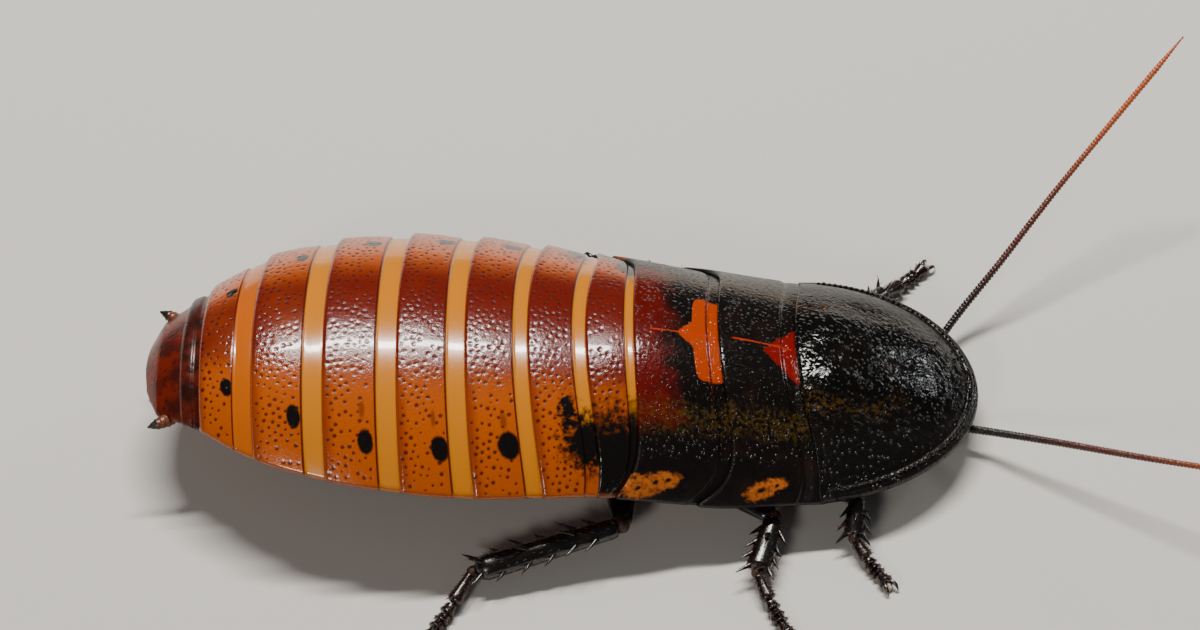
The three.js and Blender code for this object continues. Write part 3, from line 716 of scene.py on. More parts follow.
def tail_paint(name, base, patch, dots):
    """Dull chitin with darker patches and pores."""
    paint = Paint(name, roughness=0.4, coat=0.15, coat_roughness=0.2, specular=0.25)
    cloud = paint.noise(0.7, 4.0)
    colour = paint.mixed((cloud - 0.5).between(-0.08, 0.14), base, patch)
    grain = paint.grains(1.9)
    colour = paint.mixed(grain.between(0.35, 0.1) * dots, colour, NEAR_BLACK)
    height = grain.between(0.0, 0.5) * 0.6 + paint.noise(6.0) * 0.4
    return paint.finish(
        Base_Color=colour,
        Roughness=0.3 + (cloud - 0.5) * 0.25,
        Normal=paint.bump(height, 0.05, 0.6),
    )


band_chitin = tail_paint("tail_band_chitin", srgb(44, 12, 5), srgb(84, 22, 7), dots=0.4)
band_sweeps = (TAIL_SWEEP, PLATES["abdomen_7"][3])
grid, uv = plate_grid(TAIL_BAND_REAR, TAIL_BAND_SEAM, TAIL_BAND_FRONT, *band_sweeps, columns=160, rows=8)
tail_band = skin("tail_band", grid, uv)
tail_band.data.materials.append(band_chitin)
grid, uv = belly_grid(TAIL_BAND_REAR, TAIL_BAND_FRONT, *band_sweeps)
band_below = skin("tail_band_below", grid, uv)
band_below.data.materials.append(abdomen_belly)
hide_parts("abdomen_8")
for piece in (tail_band, band_below):
    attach(piece, "root")


def tail_shape(x):
    """The body's section at the stations x, closed over the blunt end of the tail."""
    half, ridge, margin, bottom = section(np.maximum(x, TAIL_END))
    closing = np.sqrt(np.clip((x - TAIL_END) / 1.1, 0.0, 1))
    fall = 0.35 + 0.65 * closing
    centre = (ridge + margin) / 2 - 0.3
    return half * fall, centre + (ridge - centre) * fall, margin, bottom


def tail_end_grid():
    """The last plate: across the back from its hidden front edge and down round its blunt end."""
    front, blunt_from = TAIL_BAND_REAR + 0.2, TAIL_END + TAIL_BLUNT
    angles = np.linspace(0, math.pi / 2, 22)
    straight = np.linspace(front, blunt_from, 10)[:-1]
    t = across_columns(120)
    lift = np.full_like(t, 0.22)
    rows = []
    for station in np.concatenate([straight, blunt_from - TAIL_BLUNT * np.sin(angles)]):
        rows.append(over_back(station + swept(t, TAIL_SWEEP), t, lift, tail_shape))
    last = rows[-1].copy()
    middle = last.mean(0)
    for share in (0.85, 0.6, 0.3):
        inwards = np.array([-0.05 * (1 - share), 0, -0.3 * (1 - share)])
        rows.append(middle + (last - middle) * share + inwards)
    grid = np.array(rows)[::-1]
    uv = np.stack(np.broadcast_arrays(t[None, :], np.linspace(0, 1, len(grid))[:, None]), -1)
    return grid, uv


grid, uv = tail_end_grid()
tail_end = skin("tail_end_plate", grid, uv)
tail_end.data.materials.append(tail_paint("tail_end_chitin", srgb(96, 22, 4), srgb(54, 10, 3), dots=0.7))
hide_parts("supra_anal_plate")
grid, uv = belly_grid(TAIL_END + 0.2, TAIL_BAND_REAR, TAIL_SWEEP, TAIL_SWEEP, rows=14)
tail_below = skin("tail_below_plate", grid, uv)
tail_below.data.materials.append(abdomen_belly)
for piece in (tail_end, tail_below):
    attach(piece, "root")


def evenly(points, count):
    """Points spaced evenly along a line of many points."""
    gone = np.concatenate([[0], np.cumsum(np.linalg.norm(np.diff(points, axis=0), axis=1))])
    at = np.linspace(0, gone[-1], count)
    return np.stack([np.interp(at, gone, points[:, c]) for c in range(points.shape[1])], -1)


def smooth_path(points, count):
    """Points evenly along a smooth curve through the given ones."""
    p = np.asarray(points, float)
    p = np.vstack([2 * p[0] - p[1], p, 2 * p[-1] - p[-2]])
    fine = []
    for k in range(1, len(p) - 2):
        a, b, c, d = p[k - 1 : k + 3]
        for u in np.linspace(0, 1, 24, endpoint=False):
            bend = (2 * a - 5 * b + 4 * c - d) * u * u + (3 * b - a - 3 * c + d) * u**3
            fine.append(0.5 * (2 * b + (c - a) * u + bend))
    fine.append(p[-2])
    return evenly(np.array(fine), count)


def tube_grid(path, wide, high, sides, up=(0, 0, 1)):
    """Rings round a path, wide across it and high along up."""
    path = np.asarray(path, float)
    along = np.gradient(path, axis=0)
    along /= np.linalg.norm(along, axis=1)[:, None]
    across = np.cross(np.asarray(up, float), along)
    across /= np.maximum(np.linalg.norm(across, axis=1), 1e-9)[:, None]
    above = np.cross(along, across)
    angle = np.linspace(0, 2 * math.pi, sides, endpoint=False)
    wide = np.broadcast_to(wide, len(path))[:, None, None]
    high = np.broadcast_to(high, len(path))[:, None, None]
    ring = across[:, None, :] * np.cos(angle)[None, :, None] * wide
    return path[:, None, :] + ring + above[:, None, :] * np.sin(angle)[None, :, None] * high


def tube(name, path, wide, high, sides, up=(0, 0, 1)):
    """A closed tube along a path, with a pole at each end."""
    piece = skin(name, tube_grid(path, wide, high, sides, up), wrap=True, pole_start=True, pole_end=True)
    faces_outwards(piece)
    return piece


def joined(name, pieces):
    """Several meshes as one piece."""
    work = bmesh.new()
    for piece in pieces:
        work.from_mesh(piece.data)
        bpy.data.objects.remove(piece)
    mesh = bpy.data.meshes.new(name)
    work.to_mesh(mesh)
    work.free()
    mesh.shade_smooth()
    made = bpy.data.objects.new(name, mesh)
    bpy.context.scene.collection.objects.link(made)
    return made


def ball_grid(centre, axes, rows, sides, shape=None):
    """An egg-shaped ball from its middle and its three half axes."""
    polar = np.linspace(0, math.pi, rows + 2)[1:-1][:, None]
    angle = np.linspace(0, 2 * math.pi, sides, endpoint=False)[None, :]
    a = -np.cos(polar) * np.ones_like(angle)
    b = np.sin(polar) * np.cos(angle)
    c = np.sin(polar) * np.sin(angle)
    if shape:
        a, b, c = shape(a, b, c)
    first, second, third = (np.asarray(v, float) for v in axes)
    return np.asarray(centre) + a[..., None] * first + b[..., None] * second + c[..., None] * third


def ball(name, centre, axes, rows, sides, shape=None):
    """An egg-shaped ball as a piece. shape may push its points about."""
    piece = skin(name, ball_grid(centre, axes, rows, sides, shape), wrap=True, pole_start=True, pole_end=True)
    faces_outwards(piece)
    return piece


def soft_skin_paint(name, base, crease_shade_colour, folds_per_mm):
    """Dull soft skin with fine folds, their creases painted darker as shade."""
    paint = Paint(name, roughness=0.55)
    wave = paint.noise(folds_per_mm, 4.0)
    # The low creases of the folds take the darker colour, which is painted shade.
    colour = paint.mixed(wave.between(0.35, 0.6), crease_shade_colour, base)
    return paint.finish(
        Base_Color=colour,
        Roughness=0.5 + (wave - 0.5) * 0.2,
        Normal=paint.bump(wave + paint.grains(4.0) * 0.4, 0.12, 0.8),
    )


# Two soft lobes close the end of the tail, between its last back plate and last belly plate.
LOBE_MIDDLE = np.array([-32.05, 1.85, 6.05])
LOBE_THICK = (0.9, 0.32)
LOBE_LONG = (0.75, 2.1)
LOBE_HIGH = 0.72
lobe_paint = soft_skin_paint("lobe_skin", srgb(84, 30, 10), srgb(44, 13, 5), folds_per_mm=2.0)
for side, sign in (("left", 1), ("right", -1)):
    thick = (LOBE_THICK[0], -sign * LOBE_THICK[1], 0)
    long = (sign * LOBE_LONG[0], LOBE_LONG[1], 0)
    axes = (thick, long, (0, 0, LOBE_HIGH))
    lobe = ball(f"tail_lobe_{side}", LOBE_MIDDLE * (1, sign, 1), axes, rows=20, sides=32)
    lobe.data.materials.append(lobe_paint)
    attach(lobe, "root")


# The tail's feelers are short cones of a few rings, with a dark point.
CERCUS_PATH = np.array([(-31.0, 4.3, 6.6), (-32.0, 5.05, 6.65), (-32.85, 5.5, 6.7)])
CERCUS_DARK_FROM = -31.8
CERCUS_DARK_TO = -32.4
CERCUS_POINTS = 27
CERCUS_RINGS = 6
cercus_paint = Paint("cercus_chitin", roughness=0.4, coat=0.2)
station = cercus_paint.node("ShaderNodeSeparateXYZ", {}, {0: cercus_paint.place()}, output=0)
dark_from, dark_to = ((ORIGIN[0] + x) * MM for x in (CERCUS_DARK_FROM, CERCUS_DARK_TO))
cercus_paint.finish(
    Base_Color=cercus_paint.mixed(station.between(dark_from, dark_to), srgb(104, 48, 16), NEAR_BLACK),
    Normal=cercus_paint.bump(cercus_paint.noise(6.0), 0.04, 0.6),
)
for side, sign in (("left", 1), ("right", -1)):
    path = smooth_path(CERCUS_PATH * (1, sign, 1), CERCUS_POINTS)
    share = np.linspace(0, 1, CERCUS_POINTS)
    ringed = 1 - 0.12 * np.abs(np.sin(share * math.pi * CERCUS_RINGS)) ** 3
    radius = np.interp(share, [0, 0.3, 0.7, 1], [0.6, 0.62, 0.42, 0.06]) * ringed
    cercus = tube(f"tail_feeler_{side}", path, radius, radius * 0.85, sides=16)
    cercus.data.materials.append(cercus_paint.material)
    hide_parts(f"cercus_{side}")
    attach(cercus, "root")


# The two back plates of the thorax
# Black, finely grained chitin, with orange and red marks along the middle, an orange patch with
# dark dots at each side, and olive-gold grains between. A thin thread runs along the middle.
# Spots are a middle and half sizes. A point is where it starts and ends along the plate, its
# middle across and its half width.
THORAX_MARKS = {
    "metathorax": {
        "patches": [((-0.93, 0.2), (0.07, 0.24)), ((-0.885, 0.38), (0.05, 0.16))],
        "holes": [
            ((-0.94, 0.16), (0.014, 0.03)),
            ((-0.9, 0.3), (0.013, 0.028)),
            ((-0.88, 0.42), (0.012, 0.028)),
        ],
        "bar": ((0.0, 0.865), (0.3, 0.165)),
        "point": (0.5, 0.74, 0.0, 0.11),
        "middle_colour": srgb(160, 52, 1),
        "red_until": 0.62,
        "seam_shown": 0.8,
    },
    "mesothorax": {
        "patches": [((-0.915, 0.47), (0.055, 0.15)), ((-0.885, 0.58), (0.04, 0.12))],
        "holes": [((-0.915, 0.46), (0.017, 0.04)), ((-0.89, 0.6), (0.01, 0.02))],
        "bar": None,
        "point": (0.6, 0.98, -0.05, 0.18),
        "middle_colour": srgb(112, 9, 2),
        "red_until": 0.0,
        "seam_shown": 0.0,
    },
}
THREAD_FROM = 0.2
THREAD_TO = 1.0
THORAX_OVERLAP = 1.8
GRAIN_SPACING = 0.42
GRAIN_RADIUS = 0.12
GRAIN_HEIGHT = 0.035
GRAIN_SEED = 31


def thorax_middle(paint, across, along, marks):
    """The coloured mark in the middle: a triangle that points backwards, and a bar before it."""
    apex, base, centre, half = marks["point"]
    rough_edge = (paint.noise(2.0, 2.0) - 0.5) * 0.5
    widening = (along - apex) / (base - apex)
    inside = widening - abs(across - centre) / half + rough_edge * 0.6
    middle = inside.between(-0.06, 0.08)
    if marks["bar"]:
        at, radii = marks["bar"]
        u = abs((across - at[0]) / radii[0])
        v = abs((along - at[1]) / radii[1])
        bar = ((u**6 + v**6) + rough_edge).between(1.2, 0.9)
        middle = (middle * along.between(base + 0.04, base)).higher(bar)
    return middle


def thorax_paint(name, marks, seam):
    """Chitin of one thorax plate with its marks."""
    paint = Paint(name, roughness=0.22, specular=0.4)
    across, along = paint.across_along()
    cloud = paint.noise(0.6, 4.0)
    fine = paint.noise(3.2, 3.0)
    granules = paint.grains(3.0).between(0.36, 0.06) * abs(across).between(0.85, 0.6)
    base = paint.mixed((cloud - 0.5).between(-0.02, 0.25), NEAR_BLACK, srgb(26, 12, 7))
    if marks["red_until"]:
        warm = along.between(marks["red_until"] + 0.2, 0.0) * abs(across).between(0.72, 0.5)
        base = paint.mixed((warm * 1.3 + (cloud - 0.5) * 1.6).between(0.25, 1.2), base, srgb(86, 8, 2))
    gold = abs(abs(across) - 0.52 + (cloud - 0.5) * 0.25).between(0.14, 0.03)
    mottle = fine.between(0.42, 0.62)
    colour = paint.mixed(gold * mottle * 0.6, base, srgb(76, 54, 12))
    side = abs(across) * -1
    patch = highest([paint.oval(side, along, *spot, ragged=1.3, soft=0.25) for spot in marks["patches"]])
    for hole in marks["holes"]:
        patch = patch * (1 - paint.oval(side, along, *hole, ragged=0.6, soft=0.5))
    tan = paint.mixed(fine.between(0.4, 0.7), srgb(184, 100, 34), srgb(126, 54, 14))
    colour = paint.mixed(patch * (0.95 - across.between(0.2, 0.6) * 0.5), colour, tan)
    middle = thorax_middle(paint, across, along, marks)
    colour = paint.mixed(middle, colour, marks["middle_colour"])
    line = abs(along - seam).between(0.016, 0.006) * abs(across).between(0.45, 0.35) * marks["seam_shown"]
    colour = paint.mixed(line, colour, LINE_RED)
    thread = abs(across + (cloud - 0.5) * 0.012).between(0.008, 0.003)
    thread = thread * along.between(THREAD_FROM - 0.03, THREAD_FROM + 0.03)
    thread = thread * along.between(THREAD_TO + 0.02, THREAD_TO)
    colour = paint.mixed(thread * 0.8, colour, srgb(176, 44, 10))
    smooth = patch.higher(middle) * 0.8
    height = granules * (1 - smooth) + fine * 0.25
    return paint.finish(
        Base_Color=colour,
        Roughness=0.17 + abs(across).between(0.35, 0.9) * 0.16 + (cloud - 0.5) * 0.1,
        Normal=paint.bump(height, 0.13, 0.85),
    )


sizes = {"Spacing": GRAIN_SPACING * MM, "Dot_Radius": GRAIN_RADIUS * MM, "Dot_Height": GRAIN_HEIGHT * MM}
for name, label in (("metathorax", "rear_thorax"), ("mesothorax", "middle_thorax")):
    rear, line, front, sweep, _ = PLATES[name]
    grid, uv = plate_grid(rear, line, front, sweep, next_sweep(name), columns=220, rows=40)
    plate = skin(f"{label}_plate", grid, uv)
    across, along = np.abs(uv[..., 0]), uv[..., 1]
    store(plate, "density", np.where((along > 0.05) & (across < 0.97), 0.8 - 0.4 * across, 0.0))
    finish = thorax_paint(f"{label}_chitin", THORAX_MARKS[name], (line - rear) / (front - rear))
    run_tree(plate, dots_tree, **sizes, Seed=GRAIN_SEED, Finish=finish)
    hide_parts(name)
    grid, uv = belly_grid(rear, front, sweep, next_sweep(name), hidden=THORAX_OVERLAP)
    below = skin(f"{label}_below", grid, uv)
    below.data.materials.append(abdomen_belly)
    for piece in (plate, below):
        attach(piece, "root")


# The shield over the head
# One thick domed plate of black chitin, coarsely grained on its back and smoother on its flanks,
# with low humps, a beaded raised rim round its front and a rounded edge rolled under.
SHIELD_REAR = 14.3
SHIELD_TIP = 28.2
SHIELD_HALF = 10.45
SHIELD_SHOULDER = 15.0
SHIELD_BOW = 1.9
SHIELD_CENTRE = np.array([20.0, middle_y(20.0)])
SHIELD_THICK = 0.88
RIDGE_REAR, RIDGE_TIP = 8.88, 3.3
MARGIN_REAR, MARGIN_TIP = 3.6, 3.15
EDGE_INSET = 0.34
CORNER_ROUND = 0.35
RIM_FROM = 15.4
RIM_RISES_OVER = 1.5


def shield_shape(x):
    """Half width, ridge and margin height of the shield at the stations x."""
    u = np.clip((x - SHIELD_SHOULDER) / (SHIELD_TIP - SHIELD_SHOULDER), 0, 1)
    half = SHIELD_HALF * np.sqrt(np.maximum(0.0008, 1 - u**SHIELD_BOW))
    along = np.clip((x - SHIELD_REAR) / (SHIELD_TIP - SHIELD_REAR), 0, 1)
    ridge = RIDGE_REAR + (RIDGE_TIP - RIDGE_REAR) * along**1.9
    margin = MARGIN_REAR + (MARGIN_TIP - MARGIN_REAR) * along**6
    return half, ridge, margin


def shield_outline(count):
    """The shield's edge seen from above, once round from the middle of its rear edge."""
    t = np.concatenate([np.linspace(0, 0.9, count // 8), 1 - 0.1 * np.linspace(0.9, 0, 8) ** 2])
    corner = np.clip((t - 0.93) / 0.07, 0, 1) ** 2 * CORNER_ROUND
    theta = np.linspace(0, math.pi / 2, count // 4)
    side_x = SHIELD_SHOULDER + (SHIELD_TIP - SHIELD_SHOULDER) * np.sin(theta) ** (2 / SHIELD_BOW)
    halves = []
    for sign in (1, -1):
        x = SHIELD_REAR + swept(sign * t, SHIELD_SWEEP)
        half, ridge, margin = shield_shape(x)
        arc = 2 * np.arctan((ridge - margin) / half)
        rear = np.stack([x + corner, middle_y(x) + sign * half * np.sin(t * arc) / np.sin(arc)], -1)
        side = np.stack([side_x, middle_y(side_x) + sign * SHIELD_HALF * np.cos(theta)], -1)
        halves.append((rear, side[side[:, 0] > rear[-1, 0] + 0.15]))
    (rear_left, left), (rear_right, right) = halves
    return evenly(np.vstack([rear_left, left, right[::-1][1:], rear_right[::-1][:-1]]), count + 1)[:-1]


def shield_height(x, y):
    """How high the shield's dome lies over a place."""
    half, ridge, margin = shield_shape(x)
    arc = 2 * np.arctan((ridge - margin) / half)
    radius = half / np.sin(arc)
    off = np.clip((y - middle_y(x)) / radius, -1, 1)
    return margin + np.maximum(radius * (np.sqrt(1 - off**2) - np.cos(arc)), 0)


# Low humps and hollows at each side: middle as station and offset, half size, and height.
SHIELD_HUMPS = [
    ((17.0, 2.6), (1.6, 1.5), 0.22),
    ((19.8, 4.6), (1.8, 1.3), -0.2),
    ((24.6, 2.2), (1.6, 1.6), 0.16),
    ((22.2, 0.0), (1.5, 1.0), -0.12),
]


def shield_relief(x, y):
    """How far the humps and hollows raise the dome."""
    off = np.abs(y - middle_y(x))
    relief = 0.0
    for at, wide, height in SHIELD_HUMPS:
        relief = relief + height * np.exp(-(((x - at[0]) / wide[0]) ** 2) - (((off - at[1]) / wide[1]) ** 2))
    return relief


def front_rim(front, near):
    """The raised rim round the front and the shallow groove behind it, near the edge."""
    ridge = 0.16 * np.exp(-(((near - 0.12) / 0.16) ** 2))
    groove = 0.1 * np.exp(-(((near - 0.55) / 0.25) ** 2))
    return front * (ridge - groove)


def shield_grid(columns=260):
    """Rings from the middle of the dome out to its edge, round it and back under the shield."""
    outline = shield_outline(columns)
    out = outline - SHIELD_CENTRE
    to_edge = np.linalg.norm(out, axis=1)
    out /= to_edge[:, None]
    to_rim = to_edge - EDGE_INSET
    front = np.clip((outline[:, 0] - RIM_FROM) / RIM_RISES_OVER, 0, 1)
    rows, coordinates = [], []

    def keep(distance, height):
        flat = SHIELD_CENTRE + out * distance[:, None]
        x, y = flat.T
        half = np.maximum(shield_shape(x)[0], 1.0)
        share = (x - SHIELD_REAR) / (SHIELD_TIP - SHIELD_REAR)
        rows.append(np.column_stack([flat, height(x, y)]))
        coordinates.append(np.column_stack([(y - middle_y(x)) / half, share]))

    top_shares = np.concatenate([np.linspace(0.01, 0.86, 44), np.linspace(0.875, 0.98, 10)]) / 0.98
    for share in top_shares:
        rim = front_rim(front, to_rim * (1 - share))
        keep(to_rim * share, lambda x, y: shield_height(x, y) + shield_relief(x, y) + rim)
    top = rows[-1][:, 2]
    for angle in np.radians(np.linspace(20, 180, 9)):
        drop = SHIELD_THICK / 2 * (1 - math.cos(angle))
        keep(to_edge - EDGE_INSET * (1 - math.sin(angle)), lambda x, y: top - drop)
    for share in (0.93, 0.84, 0.7, 0.5, 0.3, 0.12, 0.01):
        keep(to_rim * share, lambda x, y: shield_height(x, y) - SHIELD_THICK)
    return np.array(rows), np.array(coordinates)


def shield_paint():
    """Black chitin with sparse bright granules, fine wrinkles and a little olive gold."""
    paint = Paint("shield_chitin", roughness=0.16, specular=0.36)
    across, along = paint.across_along()
    cloud = paint.noise(0.45, 4.0)
    fine = paint.noise(3.0, 3.0)
    granules = paint.grains(2.5).between(0.36, 0.06)
    wrinkle = paint.node(
        "ShaderNodeTexNoise",
        {},
        {"Vector": paint.place(), "Scale": 1.3 / MM, "Detail": 3.0, "Distortion": 1.6},
    )
    flank = abs(across).between(0.4, 0.75)
    colour = paint.mixed((cloud - 0.5).between(-0.05, 0.3), srgb(5, 4, 3), srgb(17, 10, 6))
    colour = paint.mixed(flank * 0.5, colour, srgb(17, 12, 8))
    gold = abs(abs(across) - 0.44 + (cloud - 0.5) * 0.2).between(0.13, 0.02) * along.between(0.75, 0.2)
    colour = paint.mixed(gold * fine.between(0.46, 0.64) * 0.6, colour, srgb(82, 54, 12))
    oval = paint.oval(abs(across), along, (0.33, 0.31), (0.12, 0.09), ragged=0.5, soft=0.4)
    colour = paint.mixed(oval * 0.8, colour, srgb(6, 4, 3))
    height = granules * (1.3 - flank * 0.8) + wrinkle * 0.42
    rough = 0.09 + flank * 0.24 + (cloud - 0.5) * 0.05
    return paint.finish(Base_Color=colour, Roughness=rough, Normal=paint.bump(height, 0.22, 0.9))


grid, uv = shield_grid()
shield = skin("head_shield", grid, uv, wrap=True, pole_start=True, pole_end=True)
faces_outwards(shield)
shield.data.materials.append(shield_paint())
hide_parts("pronotum")
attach(shield, "root")

# Glossy beads stand in a row on the shield's front rim.
BEAD_EVERY = 0.42
BEAD_RADIUS = 0.15
BEAD_ROW = 51
BEADS_FROM = 16.6


def beads_on_path_tree():
    """Sets a small bead at each step along a curve."""
    tree = GeometryTree("rim_beads", Rim="Geometry", Step="Float", Bead_Radius="Float", Finish="Material")
    curve = tree.node("GeometryNodeMeshToCurve", {}, {"Mesh": tree.given["Rim"]})
    inputs = {"Curve": curve.outputs["Curve"], "Length": tree.given["Step"]}
    steps = tree.node("GeometryNodeCurveToPoints", {"mode": "LENGTH"}, inputs)
    size = {"Subdivisions": 2, "Radius": tree.given["Bead Radius"]}
    bead = tree.node("GeometryNodeMeshIcoSphere", {}, size)
    beads = tree.node(
        "GeometryNodeInstanceOnPoints",
        {},
        {
            "Points": steps.outputs["Points"],
            "Instance": bead.outputs["Mesh"],
            "Scale": tree.chance(0.6, 1.15, 5),
        },
    )
    return tree.finished(beads.outputs["Instances"])


def line_piece(name, path, **columns):
    """A line of points as a mesh, with numbers kept for each point."""
    mesh = bpy.data.meshes.new(name)
    points = [tuple(p) for p in placed(path)]
    mesh.from_pydata(points, [(k, k + 1) for k in range(len(points) - 1)], [])
    piece = bpy.data.objects.new(name, mesh)
    bpy.context.scene.collection.objects.link(piece)
    for label, values in columns.items():
        store(piece, label, values)
    return piece


rim_row = grid[BEAD_ROW]
rim_line = rim_row[rim_row[:, 0] > BEADS_FROM]
rim_beads = line_piece("shield_beads", rim_line + np.array([0, 0, 0.02]))
bead_paint = Paint("bead_chitin", roughness=0.2, coat=0.6, coat_roughness=0.1)
bead_share = bead_paint.noise(0.8).between(0.4, 0.6)
bead_paint.finish(Base_Color=bead_paint.mixed(bead_share, srgb(16, 11, 9), srgb(40, 26, 18)))
sizes = {"Step": BEAD_EVERY * MM, "Bead_Radius": BEAD_RADIUS * MM}
run_tree(rim_beads, beads_on_path_tree(), **sizes, Finish=bead_paint.material)
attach(rim_beads, "root")


# The front of the thorax and the neck
# Under the shield the thorax ends in a rounded body of brown skin, which narrows to a soft neck of
# paler folded skin. The neck runs forwards and down into the back of the head.
PROTHORAX_RINGS = [
    # station, half width, top, bottom
    (15.3, 7.0, 7.2, 2.75),
    (16.6, 6.9, 7.1, 2.75),
    (18.2, 5.5, 6.5, 3.1),
    (19.0, 3.5, 6.1, 3.7),
]
NECK_PATH = [(18.6, 0.52, 5.1), (19.9, 0.52, 4.45), (21.2, 0.52, 3.6)]
NECK_WIDE = 1.5
NECK_HIGH = 0.88
NECK_FOLDS = 7


def ring_body(rings, sides=96, rows=40):
    """Rounded box-like rings along the body, from station, half width, top and bottom."""
    stations, halves, tops, bottoms = np.array(rings).T
    x, half, _ = smooth_path(np.stack([stations, halves, tops - bottoms], -1), rows).T
    top, bottom = np.interp(x, stations, tops), np.interp(x, stations, bottoms)
    angle = np.linspace(0, 2 * math.pi, sides, endpoint=False)
    round_cos, round_sin = (np.sign(v) * np.abs(v) ** 0.8 for v in (np.cos(angle), np.sin(angle)))
    y = middle_y(x)[:, None] + half[:, None] * round_cos
    z = ((top + bottom) / 2)[:, None] + ((top - bottom) / 2)[:, None] * round_sin
    return np.stack([np.broadcast_to(x[:, None], y.shape), y, z], -1)


prothorax = skin("front_thorax", ring_body(PROTHORAX_RINGS), wrap=True, pole_start=True, pole_end=True)
faces_outwards(prothorax)
prothorax_skin = soft_skin_paint("thorax_skin", srgb(86, 46, 26), srgb(44, 22, 14), folds_per_mm=2.4)
prothorax.data.materials.append(prothorax_skin)
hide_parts("prothorax")
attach(prothorax, "root")

neck_folds = 1 + 0.07 * np.sin(np.linspace(0, NECK_FOLDS * 2 * math.pi, 60))
neck = tube("neck_skin", smooth_path(NECK_PATH, 60), NECK_WIDE * neck_folds, NECK_HIGH * neck_folds, sides=60)
neck_skin = soft_skin_paint("neck_folds", srgb(150, 116, 80), srgb(96, 62, 38), folds_per_mm=3.0)
neck.data.materials.append(neck_skin)
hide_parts("neck")
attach(neck, "root")


# The head
# A dark red-brown capsule of smooth glossy chitin hangs from the neck under the shield, with its
# face forwards and down. It is one skin of rings from the crown to the mouth, with shallow dents.
CROWN = np.array([23.9, 0.55, 4.05])
MOUTH = np.array([18.7, 0.45, 1.15])
HEAD_PROFILE = [
    # share from crown to mouth, half width, half thickness
    (0.0, 0.5, 0.35),
    (0.06, 1.6, 0.75),
    (0.2, 2.55, 1.15),
    (0.4, 2.9, 1.3),
    (0.6, 2.5, 1.2),
    (0.78, 1.8, 0.95),
    (0.92, 1.2, 0.65),
    (1.0, 0.6, 0.4),
]
EYE_SHARE = 0.27
SOCKET_SHARE = 0.36
SOCKET_ASIDE = 1.15
head_axis = MOUTH - CROWN
head_long = np.linalg.norm(head_axis)
head_down = head_axis / head_long
head_side = np.array([0.0, 1.0, 0.0])
head_face = -np.cross(head_side, head_down)
head_face /= np.linalg.norm(head_face)


def on_head(share, aside, out):
    """A point on the head: share from crown to mouth, aside to its left, out of its face."""
    share, aside, out = (np.asarray(v, float)[..., None] for v in (share, aside, out))
    return CROWN + head_axis * share + head_side * aside + head_face * out


def dent(share, aside, at, wide, deep):
    """A round dent at each side, or a bulge where deep is positive."""
    far = ((share - at[0]) * head_long / wide) ** 2 + ((np.abs(aside) - at[1]) / wide) ** 2
    return deep * np.exp(-far)


def head_grid(rows=110, sides=128):
    """Rings from the crown to the mouth, dented at the sockets and grooved across the face."""
    table = smooth_path([(s * head_long, w, t) for s, w, t in HEAD_PROFILE], rows)
    share = table[:, 0] / head_long
    angle = np.linspace(0, 2 * math.pi, sides, endpoint=False)
    aside = table[:, 1][:, None] * np.cos(angle)
    out = table[:, 2][:, None] * np.sin(angle)
    s = np.broadcast_to(share[:, None], out.shape)
    face = np.clip(np.sin(angle), 0, 1)[None, :] ** 0.5
    sockets = dent(s, aside, (SOCKET_SHARE, SOCKET_ASIDE), 0.55, -0.2)
    swellings = dent(s, aside, (0.5, 0.0), 0.9, 0.12) + dent(s, aside, (0.2, 0.6), 0.9, 0.06)
    face_groove = -0.09 * np.exp(-(((s - 0.66) / 0.012) ** 2)) * (np.abs(aside) < 1.5)
    crown_groove = -0.05 * np.exp(-(((s - 0.12 - np.abs(aside) * 0.09) / 0.01) ** 2))
    relief = sockets + swellings + face_groove + crown_groove
    return on_head(s, aside, out + relief * face)


def head_paint():
    """Glossy red-brown chitin with a few dark pores."""
    paint = Paint("head_chitin", roughness=0.26, coat=0.55, coat_roughness=0.14)
    cloud = paint.noise(0.7, 3.0)
    colour = paint.mixed((cloud - 0.5).between(-0.12, 0.2), srgb(46, 16, 9), srgb(92, 34, 16))
    pores = paint.grains(4.2).between(0.22, 0.08)
    colour = paint.mixed(pores * 0.5, colour, srgb(20, 8, 6))
    rough = 0.24 + (cloud - 0.5) * 0.16
    height = pores * -0.5 + paint.noise(2.4) * 0.5
    return paint.finish(Base_Color=colour, Roughness=rough, Normal=paint.bump(height, 0.05, 0.6))


head = skin("head_capsule", head_grid(), wrap=True, pole_start=True, pole_end=True)
faces_outwards(head)
head.data.materials.append(head_paint())
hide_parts("head")
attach(head, "root")


# Kidney-shaped black eyes of many small facets curve round the sides of the head. A pale spot
# lies inside each, next to the raised ring that the feeler turns in.
eye_paint = Paint("eye_facets", roughness=0.12, coat=0.8, coat_roughness=0.05)
facets = eye_paint.grains(9.0)
eye_paint.finish(
    Base_Color=eye_paint.mixed(facets.between(0.3, 0.55), srgb(14, 9, 8), srgb(40, 22, 16)),
    Normal=eye_paint.bump(facets.between(0.6, 0.0), 0.03, 0.7),
)
spot_paint = Paint("pale_spot", roughness=0.3, coat=0.5)
spot_paint.finish(Base_Color=spot_paint.mixed(spot_paint.noise(3.0), srgb(196, 160, 96), srgb(224, 196, 140)))
ring_paint = Paint("socket_chitin", roughness=0.3, coat=0.5)
ring_paint.finish(Base_Color=ring_paint.mixed(ring_paint.noise(2.0), srgb(110, 52, 24), srgb(62, 24, 12)))


def kidney(a, b, c):
    """Bends a ball's inner side in, where the feeler's socket lies."""
    inner = np.clip(-b, 0, 1) ** 1.5
    return a, b + inner * 0.45 * np.exp(-(((a - 0.15) / 0.5) ** 2)), c


EYE_ASIDE = 2.35
EYE_SIZE = (1.34, 1.13, 1.03)
PALE_SPOT = (0.235, 1.25, 1.1)
PALE_SPOT_SIZE = (0.24, 0.2, 0.12)
SOCKET_OUT = 1.03
SOCKET_RADIUS = 0.45
SOCKET_THICK = 0.12


